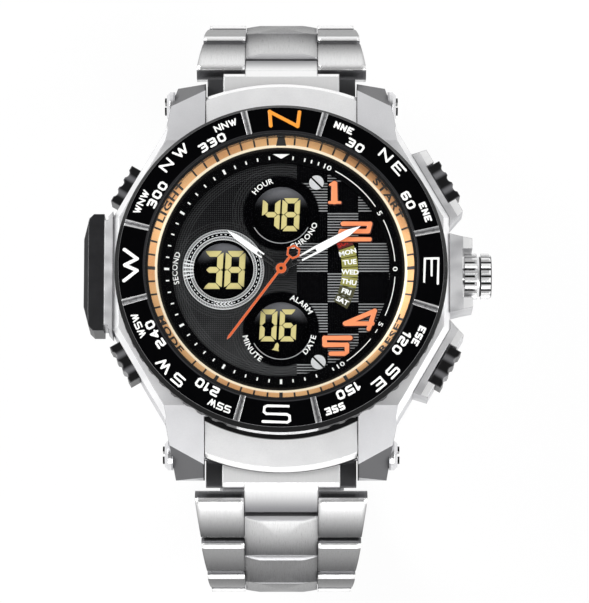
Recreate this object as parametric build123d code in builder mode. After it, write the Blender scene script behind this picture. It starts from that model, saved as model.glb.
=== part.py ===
from build123d import *
from math import cos, radians, sin, sqrt
import os

os.makedirs("parts", exist_ok=True)

# Frame: the origin is the centre of the case back's flat face, +Z points up through the dial,
# +Y points to 12 o'clock and +X to the crown. Lengths are in millimetres.

# Fits
running_gap = 0.06
seated_gap = 0.02
loose_gap = 0.1
cut_over = 1.0
half_turn = 180.0
diagonal = sqrt(0.5)

# Case middle: flanks at 3 and 9 o'clock, oblique flanks behind the push pieces, four lugs
case_bottom = 0.6
case_top = 9.4
side_half_width = 25.5
flank_swell = 0.9
flank_distance = side_half_width + flank_swell
flank_slant = 30.0
lug_gap_half = 11.6
lug_tip_half_width = 16.0
lug_root_half_width = 17.6
shoulder_inset = 5.7
shoulder_half_width = side_half_width - shoulder_inset
lug_reach = 30.6
lug_root_setback = 8.4
lug_root_y = lug_reach - lug_root_setback
case_wall_setback = 5.4
case_wall_y = lug_reach - case_wall_setback
case_edge_chamfer = 0.9
lug_slope_length = 10.2
lug_slope_start_y = lug_reach - lug_slope_length
lug_knee_setback = 1.6
lug_knee_y = lug_reach - lug_knee_setback
lug_knee_z = 6.4
lug_tip_slant = 0.42
lug_tip_rise = 0.6
plate_shelf_z = 4.9
plate_seat_setback = 3.2
plate_seat_y = case_wall_y - plate_seat_setback

# Rotating bezel
bezel_radius = 25.1
bezel_lip_width = 0.65
bezel_lip_radius = bezel_radius - bezel_lip_width
insert_width = 3.8
bezel_inner_radius = bezel_lip_radius - insert_width
bezel_bottom = 9.9
bezel_rim_low = 10.4
bezel_rim_high = 12.7
bezel_rim_inset = 0.25
bezel_lip_z = 13.5
bezel_inner_z = 14.15
bezel_turned = 1.25
insert_thickness = 0.45
rib_height = 0.28
rib_place = 14.6
rib_spread = 2.3
quarter_count = 4
quarter_turn = 90.0
scallop_depth = 0.3
scallop_radius = 1.5
scallop_start = 20.0
scallop_step = 5.6
scallop_count = 10

# Bore, collar and crystal
collar_cover = 0.55
collar_radius = bezel_inner_radius + collar_cover
collar_top = 14.0
collar_wall = 1.2
crystal_radius = collar_radius - collar_wall
crystal_seat_z = 12.8
crystal_thickness = 1.75
crystal_chamfer = 0.25
gasket_width = 0.45
flange_bore_wall = 0.9
flange_bore_radius = collar_radius - flange_bore_wall
flange_bore_bottom = 10.45
case_wall = 2.6
bore_radius = collar_radius - case_wall

# Case back, its gasket and its screws
back_cover = 0.4
back_radius = collar_radius + back_cover
back_seat_z = 1.8
back_edge_chamfer = 0.3
back_plug_play = 0.2
back_plug_radius = bore_radius - back_plug_play
back_plug_wall = 1.4
back_plug_height = 0.9
back_gasket_inset = 0.5
back_gasket_radius = bore_radius + back_gasket_inset
back_gasket_width = 0.5
back_gasket_height = 0.5
back_screw_margin = 1.1
back_screw_pitch_radius = back_radius - back_screw_margin
back_screw_radius = 0.55
back_screw_head_radius = 1.0
back_screw_head_height = 0.6
back_screw_length = 3.2
back_screw_start = 45.0
back_screws_in_all = 4

# Dial side
dial_bottom = 10.5
dial_top = 11.0
dial_radius = bore_radius - loose_gap
flange_width = 2.2
flange_inner_radius = bore_radius - flange_width
flange_seat = 0.05
flange_outer_radius = bore_radius + flange_seat
flange_low_z = 11.45
flange_high_z = 12.0
chapter_outer_radius = flange_bore_radius - loose_gap
chapter_low_z = 12.1
chapter_high_z = 12.65
window_radius = 4.2
upper_window_y = 8.7
lower_window_y = -9.1
side_window_x = -8.7
second_ring_inner = 4.5
second_ring_outer = 6.15
second_ring_height = 0.3
centre_hole_radius = 1.05
upper_screw_x = 5.35
upper_screw_y = 13.4
lower_screw_x = 5.6
lower_screw_y = -14.2
dial_screw_radius = 1.1
dial_screw_height = 0.35
dial_screw_slot = 0.3
dial_screw_turn = 135.0

# Movement
holder_wall = 4.2
holder_inner_radius = bore_radius - holder_wall
holder_bottom = 2.8
plate_radius = holder_inner_radius - loose_gap
plate_bottom = 7.6
plate_top = 9.2
lcd_radius = 4.9
lcd_top = 10.3
board_radius = plate_radius - loose_gap
board_thickness = 0.9
board_top = 7.5
battery_radius = 4.75
battery_height = 3.0
battery_x = -5.0
battery_y = -4.5
clip_thickness = 0.3
clip_width = 3.0
clip_foot_reach = 0.825
coil_radius = 1.2
coil_length = 9.0
coil_flange_radius = 1.6
coil_flange_width = 0.6
coil_x = 6.5
coil_y = 5.5

# Hands, with pipes that nest in the main plate's centre hole
hand_thickness = 0.2
hour_hand_z = 11.45
minute_hand_z = 11.8
second_hand_z = 12.15
hour_hand_length = 10.1
minute_hand_length = 13.7
second_hand_length = 13.6
second_tail_length = 4.25
hour_hand_angle = 306.2
minute_hand_angle = 61.4
second_hand_angle = 216.7
hour_hub_radius = 1.1
minute_hub_radius = 0.95
second_hub_radius = 0.8
hour_pipe_radius = 0.95
minute_pipe_radius = 0.65
second_pipe_radius = 0.35
hand_outline_shares = [(0.0, 0.036), (0.3, 0.038), (0.45, 0.044), (0.84, 0.036), (1.0, 0.0)]
hand_slot_shares = (0.14, 0.44, 0.02)
second_half_width = 0.19
second_point_length = 0.5
loop_radius = 1.15
loop_hole_radius = 0.8
loop_sides = 6

# Crown, crown guard and the row of push pieces
side_axis_z = 5.6
stem_radius = 0.6
stem_start = 0.2
stem_inner_x = holder_inner_radius + stem_start
tube_radius = 1.3
crown_radius = 3.5
crown_standoff = 2.3
crown_inner_x = side_half_width + crown_standoff
crown_length = 4.1
crown_outer_x = crown_inner_x + crown_length
crown_groove_setback = 1.9
crown_groove_x = crown_inner_x + crown_groove_setback
crown_groove_width = 0.6
crown_groove_depth = 0.45
crown_edge_chamfer = 0.4
crown_flutes_in_all = 18
crown_flute_radius = 0.42
flute_sides = 4
crown_travel = 1.0
crown_tube_proud = 3.2
crown_tube_end = side_half_width + crown_tube_proud
crown_bore_depth = 2.3
clutch_start = 0.6
clutch_inner_x = holder_inner_radius + clutch_start
clutch_length = 2.4
clutch_radius = 1.6
guard_root_half = 6.1
guard_half = 5.6
guard_proud = 2.0
guard_face_x = side_half_width + guard_proud
guard_ear_length = 1.5
guard_ear_x = guard_face_x + guard_ear_length
guard_ear_outer = 5.3
guard_ear_inner = 3.75
guard_half_height = 3.2

button_length = 6.3
button_height = 4.6
button_travel = 1.0
button_thickness = 2.0
right_button_proud = 3.2
right_button_face = flank_distance + right_button_proud
left_button_proud = 1.7
left_button_face = flank_distance + left_button_proud
button_groove_radius = 0.75
button_groove_spacing = 1.7
button_groove_sink = 0.42
button_side_gap = 0.15
pusher_stem_reach = 1.2
pusher_stem_inner = bore_radius - pusher_stem_reach
pusher_tube_radius = 1.05
push_guard_root = 6.0
push_guard_toe = 6.5
push_guard_half = 5.5
push_guard_proud = 1.0
push_guard_face = flank_distance + push_guard_proud
push_guard_ear_length = 1.3
push_guard_ear = push_guard_face + push_guard_ear_length
push_guard_half_height = 3.0

# Block and cap at 9 o'clock
block_half_length = 9.4
block_face_half_length = 8.6
block_proud = 0.7
block_outer_x = side_half_width + block_proud
strip_thickness = 0.6
strip_outer_x = block_outer_x + strip_thickness
strip_inset = 0.5
block_half_height = 3.5
cap_half_length = 9.0
cap_flat_half_length = 5.2
cap_thickness = 3.1
cap_outer_x = strip_outer_x + cap_thickness
cap_corner_drop = 0.8
cap_corner_x = cap_outer_x - cap_corner_drop
cap_edge_round = 0.7

# Folding clasp, first its cover, because the bracelet tapers to the cover's width
cover_half_width = 10.0
cover_wall = 1.0
cover_floor_z = -44.3
cover_floor_thickness = 1.0
cover_rim_z = -41.3
cover_far_y = -19.0
blade_thickness = 0.9
middle_blade_inset = 5.5
middle_blade_half = cover_half_width - middle_blade_inset
middle_blade_bottom = -43.75
cover_hinge_y = -16.5
cover_hinge_z = -43.3
blade_hinge_y = 14.0
blade_hinge_z = -42.6
knuckle_radius = 0.9
clasp_pin_radius = 0.45
inner_blade_inset = 1.6
inner_blade_half = cover_half_width - inner_blade_inset
inner_blade_bottom = -42.1
knuckle_gap = 0.2
clasp_lug_width = 1.8
eye_play = 0.15
clasp_end_gap = 0.4
clasp_button_y = -6.0
clasp_button_half_length = 2.6
clasp_button_half_height = 0.9
clasp_button_z = -42.95
clasp_button_proud = 0.9

# Bracelet: one hinge line a row, every row an H-shaped link with its pin
row_pitch = 8.0
rows_a_side = 7
hinge_standoff = 3.1
hinge_y = lug_reach + hinge_standoff
hinge_z = -0.5
first_bend = 46.6
row_bend = 19.5
link_thickness = 3.4
link_crown = 0.25
link_side_drop = 0.45
link_chamfer = 0.55
outer_nose = 1.7
centre_nose = 1.6
row_gap = 0.25
centre_half = 5.6
seam_half_gap = 0.05
seam_depth = 0.35
crossbar_inset = 0.35
pin_radius = 0.65
pin_inset = 0.4
link_root_half_width = 13.1
link_taper_shares = [1.0, 0.71, 0.45, 0.29, 0.16, 0.065, 0.0, 0.0]

# End links, spring bars and lug screws
end_half_width = 8.9
end_inner_setback = 4.7
end_inner_y = lug_reach - end_inner_setback
end_foot_proud = 0.9
end_foot_y = lug_reach + end_foot_proud
end_ledge_proud = 1.5
end_ledge_y = lug_reach + end_ledge_proud
end_ledge_z = 4.15
end_ledge_bottom_z = 2.3
end_top_z = 4.75
end_bottom_z = 0.7
end_wing_half_width = 11.4
end_wing_top_z = 2.2
bar_setback = 3.5
bar_y = lug_reach - bar_setback
bar_z = 3.2
bar_radius = 0.9
lug_screw_radius = 2.3
lug_screw_seat = 0.35
lug_screw_height = 1.25
lug_screw_round = 0.5
lug_screw_face_radius = 1.35
lug_screw_face_height = 0.3
lug_screw_shank = 1.1
lug_screw_depth = 3.0
screw_slot_width = 0.8
screw_slot_depth = 0.6

# Plates between the lugs
plate_play = 0.1
plate_half_width = lug_gap_half - plate_play
plate_inner_z = 8.3
plate_outer_setback = 0.5
plate_outer_y = lug_reach - plate_outer_setback
plate_outer_z = 6.4
plate_bevel = 0.7
plate_curve_sagitta = 2.2
plate_trim_width = 8.8


def finish(builder, label):
    builder.part.label = label
    export_step(builder.part, f"parts/{label}.step")


def ring(label, inner, outer, bottom, top):
    with BuildPart() as body:
        with BuildSketch(Plane.XY.offset(bottom)):
            Circle(outer)
            if inner > 0:
                Circle(inner, mode=Mode.SUBTRACT)
        extrude(amount=top - bottom)
    finish(body, label)


def radial_plane(angle, distance):
    """A sketch plane facing outwards at this angle: local x runs along the rim, local y is up."""
    a = radians(angle)
    return Plane(
        origin=(distance * cos(a), distance * sin(a), side_axis_z),
        x_dir=(-sin(a), cos(a), 0),
        z_dir=(cos(a), sin(a), 0),
    )


def flat_plane(angle, height):
    """A level sketch plane: local x points outwards at this angle, local y runs along the rim."""
    a = radians(angle)
    return Plane(origin=(0, 0, height), x_dir=(cos(a), sin(a), 0), z_dir=(0, 0, 1))


def bore(angle, radius, start, end):
    with BuildSketch(radial_plane(angle, start), mode=Mode.PRIVATE) as hole:
        Circle(radius)
    extrude(hole.sketch, amount=end - start, mode=Mode.SUBTRACT)


right_pushers = {"pusher_start": flank_slant, "pusher_reset": -flank_slant}
left_pushers = {"pusher_light": half_turn - flank_slant, "pusher_mode": half_turn + flank_slant}
push_pieces = {
    **{name: (angle, right_button_face) for name, angle in right_pushers.items()},
    **{name: (angle, left_button_face) for name, angle in left_pushers.items()},
}


# Case middle
def flank_y(x):
    return (flank_distance - x * cos(radians(flank_slant))) / sin(radians(flank_slant))


case_quarter = [
    (0, 0),
    (0, case_wall_y),
    (lug_gap_half, case_wall_y),
    (lug_gap_half, lug_reach),
    (lug_tip_half_width, lug_reach),
    (lug_root_half_width, lug_root_y),
    (shoulder_half_width, flank_y(shoulder_half_width)),
    (side_half_width, flank_y(side_half_width)),
    (side_half_width, 0),
]

with BuildPart() as case_middle:
    with BuildSketch(Plane.XY.offset(case_bottom)):
        with BuildLine():
            Polyline(*case_quarter, close=True)
        make_face()
        mirror(about=Plane.YZ)
        mirror(about=Plane.XZ)
    extrude(amount=case_top - case_bottom)
    chamfer(case_middle.faces().sort_by(Axis.Z)[-1].edges(), case_edge_chamfer)
    for side in (1, -1):
        with BuildSketch(Plane.YZ.offset(-side_half_width)):
            with BuildLine():
                Polyline(
                    (side * lug_slope_start_y, case_top),
                    (side * lug_knee_y, lug_knee_z),
                    (side * (lug_reach + cut_over), lug_knee_z),
                    (side * (lug_reach + cut_over), case_top + cut_over),
                    (side * lug_slope_start_y, case_top + cut_over),
                    close=True,
                )
            make_face()
        extrude(amount=2 * side_half_width, mode=Mode.SUBTRACT)
        for across in (1, -1):
            split(
                bisect_by=Plane(
                    origin=(across * lug_gap_half, side * lug_knee_y, lug_knee_z),
                    z_dir=(across * lug_tip_slant, side, lug_tip_rise),
                ),
                keep=Keep.BOTTOM,
            )
        with BuildSketch(Plane.XY.offset(plate_shelf_z)):
            with Locations((0, side * (plate_seat_y + case_wall_y) / 2)):
                Rectangle(2 * lug_gap_half, case_wall_y - plate_seat_y)
        extrude(amount=case_top - plate_shelf_z, mode=Mode.SUBTRACT)
    with BuildSketch(Plane.XY.offset(case_bottom + case_edge_chamfer)):
        Circle(collar_radius)
    extrude(amount=collar_top - case_bottom - case_edge_chamfer)
    with BuildSketch(Plane.XY.offset(case_bottom)):
        Circle(bore_radius)
    extrude(amount=collar_top, mode=Mode.SUBTRACT)
    with BuildSketch(Plane.XY.offset(flange_bore_bottom)):
        Circle(flange_bore_radius)
    extrude(amount=collar_top, mode=Mode.SUBTRACT)
    with BuildSketch(Plane.XY.offset(crystal_seat_z)):
        Circle(crystal_radius + gasket_width + seated_gap)
    extrude(amount=collar_top, mode=Mode.SUBTRACT)
    with BuildSketch(Plane.XY.offset(case_bottom)):
        Circle(back_radius + seated_gap)
    extrude(amount=back_seat_z - case_bottom, mode=Mode.SUBTRACT)
    with BuildSketch(Plane.XY.offset(back_seat_z)):
        Circle(back_gasket_radius + back_gasket_width / 2 + seated_gap)
        Circle(back_gasket_radius - back_gasket_width / 2 - seated_gap, mode=Mode.SUBTRACT)
    extrude(amount=back_gasket_height, mode=Mode.SUBTRACT)
    with BuildSketch(Plane.XY.offset(back_seat_z)):
        with PolarLocations(back_screw_pitch_radius, back_screws_in_all, start_angle=back_screw_start):
            Circle(back_screw_radius + seated_gap)
    extrude(amount=back_screw_length, mode=Mode.SUBTRACT)
    bore(0, tube_radius + seated_gap, 0, side_half_width + cut_over)
    for angle, face in push_pieces.values():
        bore(angle, pusher_tube_radius + seated_gap, bore_radius - cut_over, flank_distance + cut_over)
        pocket_floor = face - button_thickness - button_travel - running_gap
        with BuildSketch(radial_plane(angle, pocket_floor)):
            Rectangle(button_length + 2 * button_side_gap, button_height + 2 * button_side_gap)
        extrude(amount=cut_over + flank_distance - pocket_floor, mode=Mode.SUBTRACT)
    for side in (1, -1):
        with BuildSketch(Plane.YZ.offset(-side_half_width)):
            with Locations((side * bar_y, bar_z)):
                Circle(lug_screw_shank + seated_gap)
        extrude(amount=2 * side_half_width, mode=Mode.SUBTRACT)
        for across in (1, -1):
            with BuildSketch(Plane.YZ.offset(across * (lug_tip_half_width + lug_screw_seat - seated_gap))):
                with Locations((side * bar_y, bar_z)):
                    Circle(lug_screw_radius + seated_gap)
            extrude(amount=across * lug_screw_depth, mode=Mode.SUBTRACT)
finish(case_middle, "case_middle")


# Case back
with BuildPart() as case_back:
    with BuildSketch(Plane.XY):
        Circle(back_radius)
    extrude(amount=back_seat_z - seated_gap)
    chamfer(case_back.edges().sort_by(Axis.Z)[0], back_edge_chamfer)
    with BuildSketch(Plane.XY.offset(back_seat_z - seated_gap)):
        Circle(back_plug_radius)
        Circle(back_plug_radius - back_plug_wall, mode=Mode.SUBTRACT)
    extrude(amount=back_plug_height)
    with BuildSketch(Plane.XY):
        with PolarLocations(back_screw_pitch_radius, back_screws_in_all, start_angle=back_screw_start):
            Circle(back_screw_radius + seated_gap)
    extrude(amount=back_seat_z, mode=Mode.SUBTRACT)
    with BuildSketch(Plane.XY):
        with PolarLocations(back_screw_pitch_radius, back_screws_in_all, start_angle=back_screw_start):
            Circle(back_screw_head_radius + seated_gap)
    extrude(amount=back_screw_head_height, mode=Mode.SUBTRACT)
finish(case_back, "case_back")

with BuildPart() as case_back_screws:
    with BuildSketch(Plane.XY.offset(back_screw_head_height - seated_gap)):
        with PolarLocations(back_screw_pitch_radius, back_screws_in_all, start_angle=back_screw_start):
            Circle(back_screw_radius)
    extrude(amount=back_screw_length)
    with BuildSketch(Plane.XY.offset(seated_gap)):
        with PolarLocations(back_screw_pitch_radius, back_screws_in_all, start_angle=back_screw_start):
            Circle(back_screw_head_radius)
    extrude(amount=back_screw_head_height - 2 * seated_gap)
finish(case_back_screws, "case_back_screws")

ring(
    "case_back_gasket",
    back_gasket_radius - back_gasket_width / 2,
    back_gasket_radius + back_gasket_width / 2,
    back_seat_z,
    back_seat_z + back_gasket_height - seated_gap,
)


# Crystal and its gasket
with BuildPart() as crystal:
    with BuildSketch(Plane.XY.offset(crystal_seat_z)):
        Circle(crystal_radius)
    extrude(amount=crystal_thickness)
    chamfer(crystal.edges().sort_by(Axis.Z)[-1], crystal_chamfer)
finish(crystal, "crystal")
ring(
    "crystal_gasket",
    crystal_radius + seated_gap,
    crystal_radius + gasket_width,
    crystal_seat_z,
    collar_top,
)


# Rotating bezel: a ring with an overhanging seat, the scale insert on it and eight ribs
def bezel_band(inner, outer, raise_low, raise_high):
    """A ring section that follows the bezel's sloping top, between two heights above the seat."""
    slope = (bezel_inner_z - bezel_lip_z) / (bezel_lip_radius - bezel_inner_radius)

    def seat(radius):
        return bezel_lip_z + slope * (bezel_lip_radius - radius)

    return [
        (inner, seat(inner) + raise_low),
        (outer, seat(outer) + raise_low),
        (outer, seat(outer) + raise_high),
        (inner, seat(inner) + raise_high),
    ]


with BuildPart() as bezel_ring:
    with BuildSketch(Plane.XZ):
        with BuildLine():
            Polyline(
                (collar_radius + running_gap, bezel_bottom),
                (bezel_radius - bezel_rim_inset, bezel_bottom),
                (bezel_radius, bezel_rim_low),
                (bezel_radius, bezel_rim_high),
                (bezel_lip_radius, bezel_lip_z + insert_thickness),
                (bezel_lip_radius, bezel_lip_z),
                (collar_radius + running_gap, bezel_band(collar_radius, bezel_radius, 0, 0)[0][1]),
                close=True,
            )
        make_face()
    revolve(axis=Axis.Z)
    with BuildSketch(Plane.XY.offset(bezel_bottom)):
        for quarter in range(quarter_count):
            for k in range(scallop_count):
                angle = quarter_turn * quarter + scallop_start + k * scallop_step - bezel_turned
                with PolarLocations(bezel_radius + scallop_radius - scallop_depth, 1, start_angle=angle):
                    Circle(scallop_radius)
    extrude(amount=bezel_rim_high - bezel_bottom, mode=Mode.SUBTRACT)
finish(bezel_ring, "bezel_ring")

with BuildPart() as bezel_insert:
    with BuildSketch(Plane.XZ):
        with BuildLine():
            Polyline(
                *bezel_band(
                    bezel_inner_radius,
                    bezel_lip_radius - seated_gap,
                    seated_gap,
                    insert_thickness,
                ),
                close=True,
            )
        make_face()
    revolve(axis=Axis.Z)
finish(bezel_insert, "bezel_insert")

with BuildPart() as bezel_ribs:
    for quarter in range(quarter_count):
        for side in (1, -1):
            start = quarter_turn * quarter - bezel_turned + side * rib_place - rib_spread / 2
            with BuildSketch(Plane.XZ.rotated((0, 0, start))):
                with BuildLine():
                    Polyline(
                        *bezel_band(
                            bezel_inner_radius,
                            bezel_lip_radius,
                            insert_thickness,
                            insert_thickness + rib_height,
                        ),
                        close=True,
                    )
                make_face()
            revolve(axis=Axis.Z, revolution_arc=rib_spread)
finish(bezel_ribs, "bezel_ribs")


# Dial, flange, chapter ring and what is applied to the dial
window_places = [(0, upper_window_y), (0, lower_window_y), (side_window_x, 0)]
dial_screw_places = [(upper_screw_x, upper_screw_y), (lower_screw_x, lower_screw_y)]


def windows(radius):
    with Locations(*window_places):
        Circle(radius, mode=Mode.SUBTRACT)


with BuildPart() as dial:
    with BuildSketch(Plane.XY.offset(dial_bottom)):
        Circle(dial_radius)
        Circle(centre_hole_radius, mode=Mode.SUBTRACT)
        windows(window_radius)
    extrude(amount=dial_top - dial_bottom)
finish(dial, "dial")

with BuildPart() as dial_flange:
    with BuildSketch(Plane.XZ):
        with BuildLine():
            Polyline(
                (flange_inner_radius, dial_top),
                (flange_outer_radius, dial_top),
                (flange_outer_radius, flange_high_z),
                (flange_inner_radius, flange_low_z),
                close=True,
            )
        make_face()
    revolve(axis=Axis.Z)
finish(dial_flange, "dial_flange")

with BuildPart() as chapter_ring:
    with BuildSketch(Plane.XZ):
        with BuildLine():
            Polyline(
                (flange_outer_radius + seated_gap, dial_top),
                (chapter_outer_radius, dial_top),
                (chapter_outer_radius, chapter_high_z),
                (flange_outer_radius + seated_gap, chapter_low_z),
                close=True,
            )
        make_face()
    revolve(axis=Axis.Z)
finish(chapter_ring, "chapter_ring")

with BuildPart() as second_window_ring:
    with BuildSketch(Plane.XY.offset(dial_top)):
        with Locations((side_window_x, 0)):
            Circle(second_ring_outer)
            Circle(second_ring_inner, mode=Mode.SUBTRACT)
    extrude(amount=second_ring_height)
    chamfer(second_window_ring.edges().group_by(Axis.Z)[-1], second_ring_height / 2)
finish(second_window_ring, "second_window_ring")

with BuildPart() as dial_screws:
    with BuildSketch(Plane.XY.offset(dial_top)):
        with Locations(*dial_screw_places):
            Circle(dial_screw_radius)
    extrude(amount=dial_screw_height)
    with BuildSketch(Plane.XY.offset(dial_top + dial_screw_height / 2)):
        with Locations(*dial_screw_places):
            Rectangle(2 * dial_screw_radius + cut_over, dial_screw_slot, rotation=dial_screw_turn)
    extrude(amount=dial_screw_height, mode=Mode.SUBTRACT)
finish(dial_screws, "dial_screws")

with BuildPart() as lcd_cells:
    with BuildSketch(Plane.XY.offset(plate_top)):
        with Locations(*window_places):
            Circle(lcd_radius)
    extrude(amount=lcd_top - plate_top)
finish(lcd_cells, "lcd_cells")


# Movement
with BuildPart() as movement_holder:
    with BuildSketch(Plane.XY.offset(holder_bottom)):
        Circle(bore_radius - running_gap)
        Circle(holder_inner_radius, mode=Mode.SUBTRACT)
    extrude(amount=dial_bottom - seated_gap - holder_bottom)
    with BuildSketch(Plane.XY.offset(side_axis_z - clutch_radius - button_side_gap)):
        with Locations((holder_inner_radius + clutch_length / 2, 0)):
            Rectangle(2 * clutch_length + cut_over, 2 * (clutch_radius + button_side_gap))
    extrude(amount=2 * (clutch_radius + button_side_gap), mode=Mode.SUBTRACT)
    bore(0, stem_radius + running_gap, holder_inner_radius - cut_over, bore_radius + cut_over)
    for angle, face in push_pieces.values():
        bore(angle, stem_radius + running_gap, holder_inner_radius - cut_over, bore_radius + cut_over)
finish(movement_holder, "movement_holder")

ring("main_plate", centre_hole_radius, plate_radius, plate_bottom, plate_top)
ring("circuit_board", centre_hole_radius, board_radius, board_top - board_thickness, board_top)

battery_top = board_top - board_thickness
with BuildPart() as battery:
    with BuildSketch(Plane.XY.offset(battery_top - battery_height)):
        with Locations((battery_x, battery_y)):
            Circle(battery_radius)
    extrude(amount=battery_height)
    chamfer(battery.edges().group_by(Axis.Z)[0], clip_thickness)
finish(battery, "battery")

with BuildPart() as battery_clip:
    with BuildSketch(Plane.XY.offset(battery_top - battery_height - clip_thickness)):
        with Locations((battery_x, battery_y)):
            Rectangle(2 * (battery_radius + clip_width / 2), clip_width)
    extrude(amount=clip_thickness)
    with BuildSketch(Plane.XY.offset(battery_top - battery_height)):
        for side in (1, -1):
            foot = battery_radius + clip_foot_reach
            with Locations((battery_x + side * foot, battery_y)):
                Rectangle(clip_thickness, clip_width)
    extrude(amount=battery_height)
finish(battery_clip, "battery_clip")

with BuildPart() as motor_coil:
    coil_z = battery_top - coil_flange_radius
    with BuildSketch(Plane.XZ.offset(-coil_y - coil_length / 2)):
        with Locations((coil_x, coil_z)):
            Circle(coil_radius)
    extrude(amount=coil_length)
    for end in (0, coil_length - coil_flange_width):
        with BuildSketch(Plane.XZ.offset(end - coil_y - coil_length / 2)):
            with Locations((coil_x, coil_z)):
                Circle(coil_flange_radius)
        extrude(amount=coil_flange_width)
finish(motor_coil, "motor_coil")


# Hands: each outline is given along a hand that points to 12 o'clock, then turned to its hour
def hand_plane(angle, height):
    a = radians(angle)
    return Plane(origin=(0, 0, height), x_dir=(cos(a), -sin(a), 0), z_dir=(0, 0, 1))


def slotted_hand(label, length, angle, height, hub, pipe, pipe_bore):
    with BuildPart() as hand:
        with BuildSketch(hand_plane(angle, height)):
            right = [(length * half, length * along) for along, half in hand_outline_shares]
            left = [(-x, y) for x, y in reversed(right[:-1])]
            with BuildLine():
                Polyline(*right, *left, close=True)
            make_face()
            low, high, half = (length * share for share in hand_slot_shares)
            with Locations((0, (low + high) / 2)):
                Rectangle(2 * half, high - low, mode=Mode.SUBTRACT)
            Circle(hub)
            Circle(pipe_bore, mode=Mode.SUBTRACT)
        extrude(amount=hand_thickness)
        with BuildSketch(Plane.XY.offset(plate_bottom)):
            Circle(pipe)
            Circle(pipe_bore, mode=Mode.SUBTRACT)
        extrude(amount=height - plate_bottom)
    finish(hand, label)


slotted_hand(
    "hour_hand",
    hour_hand_length,
    hour_hand_angle,
    hour_hand_z,
    hour_hub_radius,
    hour_pipe_radius,
    minute_pipe_radius + running_gap,
)
slotted_hand(
    "minute_hand",
    minute_hand_length,
    minute_hand_angle,
    minute_hand_z,
    minute_hub_radius,
    minute_pipe_radius,
    second_pipe_radius + running_gap,
)

with BuildPart() as second_hand:
    with BuildSketch(hand_plane(second_hand_angle, second_hand_z)):
        with BuildLine():
            Polyline(
                (second_half_width, -second_tail_length + loop_radius),
                (second_half_width, second_hand_length - second_point_length),
                (0, second_hand_length),
                (-second_half_width, second_hand_length - second_point_length),
                (-second_half_width, -second_tail_length + loop_radius),
                close=True,
            )
        make_face()
        with Locations((0, -second_tail_length + loop_radius)):
            RegularPolygon(loop_radius, loop_sides)
            RegularPolygon(loop_hole_radius, loop_sides, mode=Mode.SUBTRACT)
        Circle(second_hub_radius)
    extrude(amount=hand_thickness)
    with BuildSketch(Plane.XY.offset(plate_bottom)):
        Circle(second_pipe_radius)
    extrude(amount=second_hand_z - plate_bottom)
finish(second_hand, "second_hand")


# Crown, stem, clutch wheel, crown tube and guard
with BuildPart() as crown:
    with BuildSketch(radial_plane(0, crown_inner_x)):
        Circle(crown_radius)
    extrude(amount=crown_outer_x - crown_inner_x)
    chamfer(crown.edges().group_by(Axis.X)[-1], crown_edge_chamfer)
    with BuildSketch(radial_plane(0, crown_inner_x)):
        with PolarLocations(crown_radius, crown_flutes_in_all):
            RegularPolygon(crown_flute_radius, flute_sides)
    extrude(amount=crown_outer_x - crown_inner_x, mode=Mode.SUBTRACT)
    with BuildSketch(radial_plane(0, crown_groove_x)):
        Circle(crown_radius + cut_over)
        Circle(crown_radius - crown_groove_depth, mode=Mode.SUBTRACT)
    extrude(amount=crown_groove_width, mode=Mode.SUBTRACT)
    with BuildSketch(radial_plane(0, crown_inner_x)):
        Circle(tube_radius + running_gap)
    extrude(amount=crown_bore_depth, mode=Mode.SUBTRACT)
    with BuildSketch(radial_plane(0, crown_inner_x)):
        Circle(stem_radius + seated_gap)
    extrude(amount=crown_bore_depth + crown_travel, mode=Mode.SUBTRACT)
finish(crown, "crown")

with BuildPart() as stem:
    with BuildSketch(radial_plane(0, stem_inner_x)):
        Circle(stem_radius)
    extrude(amount=crown_inner_x + crown_bore_depth + crown_travel - stem_inner_x - seated_gap)
finish(stem, "stem")

with BuildPart() as clutch_wheel:
    with BuildSketch(radial_plane(0, clutch_inner_x)):
        Circle(clutch_radius)
        Circle(stem_radius + running_gap, mode=Mode.SUBTRACT)
    extrude(amount=clutch_length)
finish(clutch_wheel, "clutch_wheel")

with BuildPart() as crown_tube:
    with BuildSketch(radial_plane(0, bore_radius)):
        Circle(tube_radius)
        Circle(stem_radius + running_gap, mode=Mode.SUBTRACT)
    extrude(amount=crown_tube_end - bore_radius)
finish(crown_tube, "crown_tube")

with BuildPart() as crown_guard:
    with BuildSketch(flat_plane(0, side_axis_z - guard_half_height)):
        with BuildLine():
            Polyline(
                (side_half_width, guard_root_half),
                (guard_face_x, guard_half),
                (guard_ear_x, guard_ear_outer),
                (guard_ear_x, guard_ear_inner),
                (guard_face_x, guard_ear_inner),
                (guard_face_x, -guard_ear_inner),
                (guard_ear_x, -guard_ear_inner),
                (guard_ear_x, -guard_ear_outer),
                (guard_face_x, -guard_half),
                (side_half_width, -guard_root_half),
                close=True,
            )
        make_face()
    extrude(amount=2 * guard_half_height)
    bore(0, tube_radius + seated_gap, side_half_width - cut_over, guard_ear_x)
finish(crown_guard, "crown_guard")


# Push pieces, their tubes and their guards
for name, (angle, face) in push_pieces.items():
    with BuildPart() as pusher:
        with BuildSketch(flat_plane(angle, side_axis_z - button_height / 2)):
            with Locations((face - button_thickness / 2, 0)):
                Rectangle(button_thickness, button_length)
            for k in (-1, 0, 1):
                with Locations((face + button_groove_sink, k * button_groove_spacing)):
                    Circle(button_groove_radius, mode=Mode.SUBTRACT)
        extrude(amount=button_height)
        with BuildSketch(radial_plane(angle, pusher_stem_inner)):
            Circle(stem_radius)
        extrude(amount=face - button_thickness - pusher_stem_inner)
    finish(pusher, name)

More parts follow.
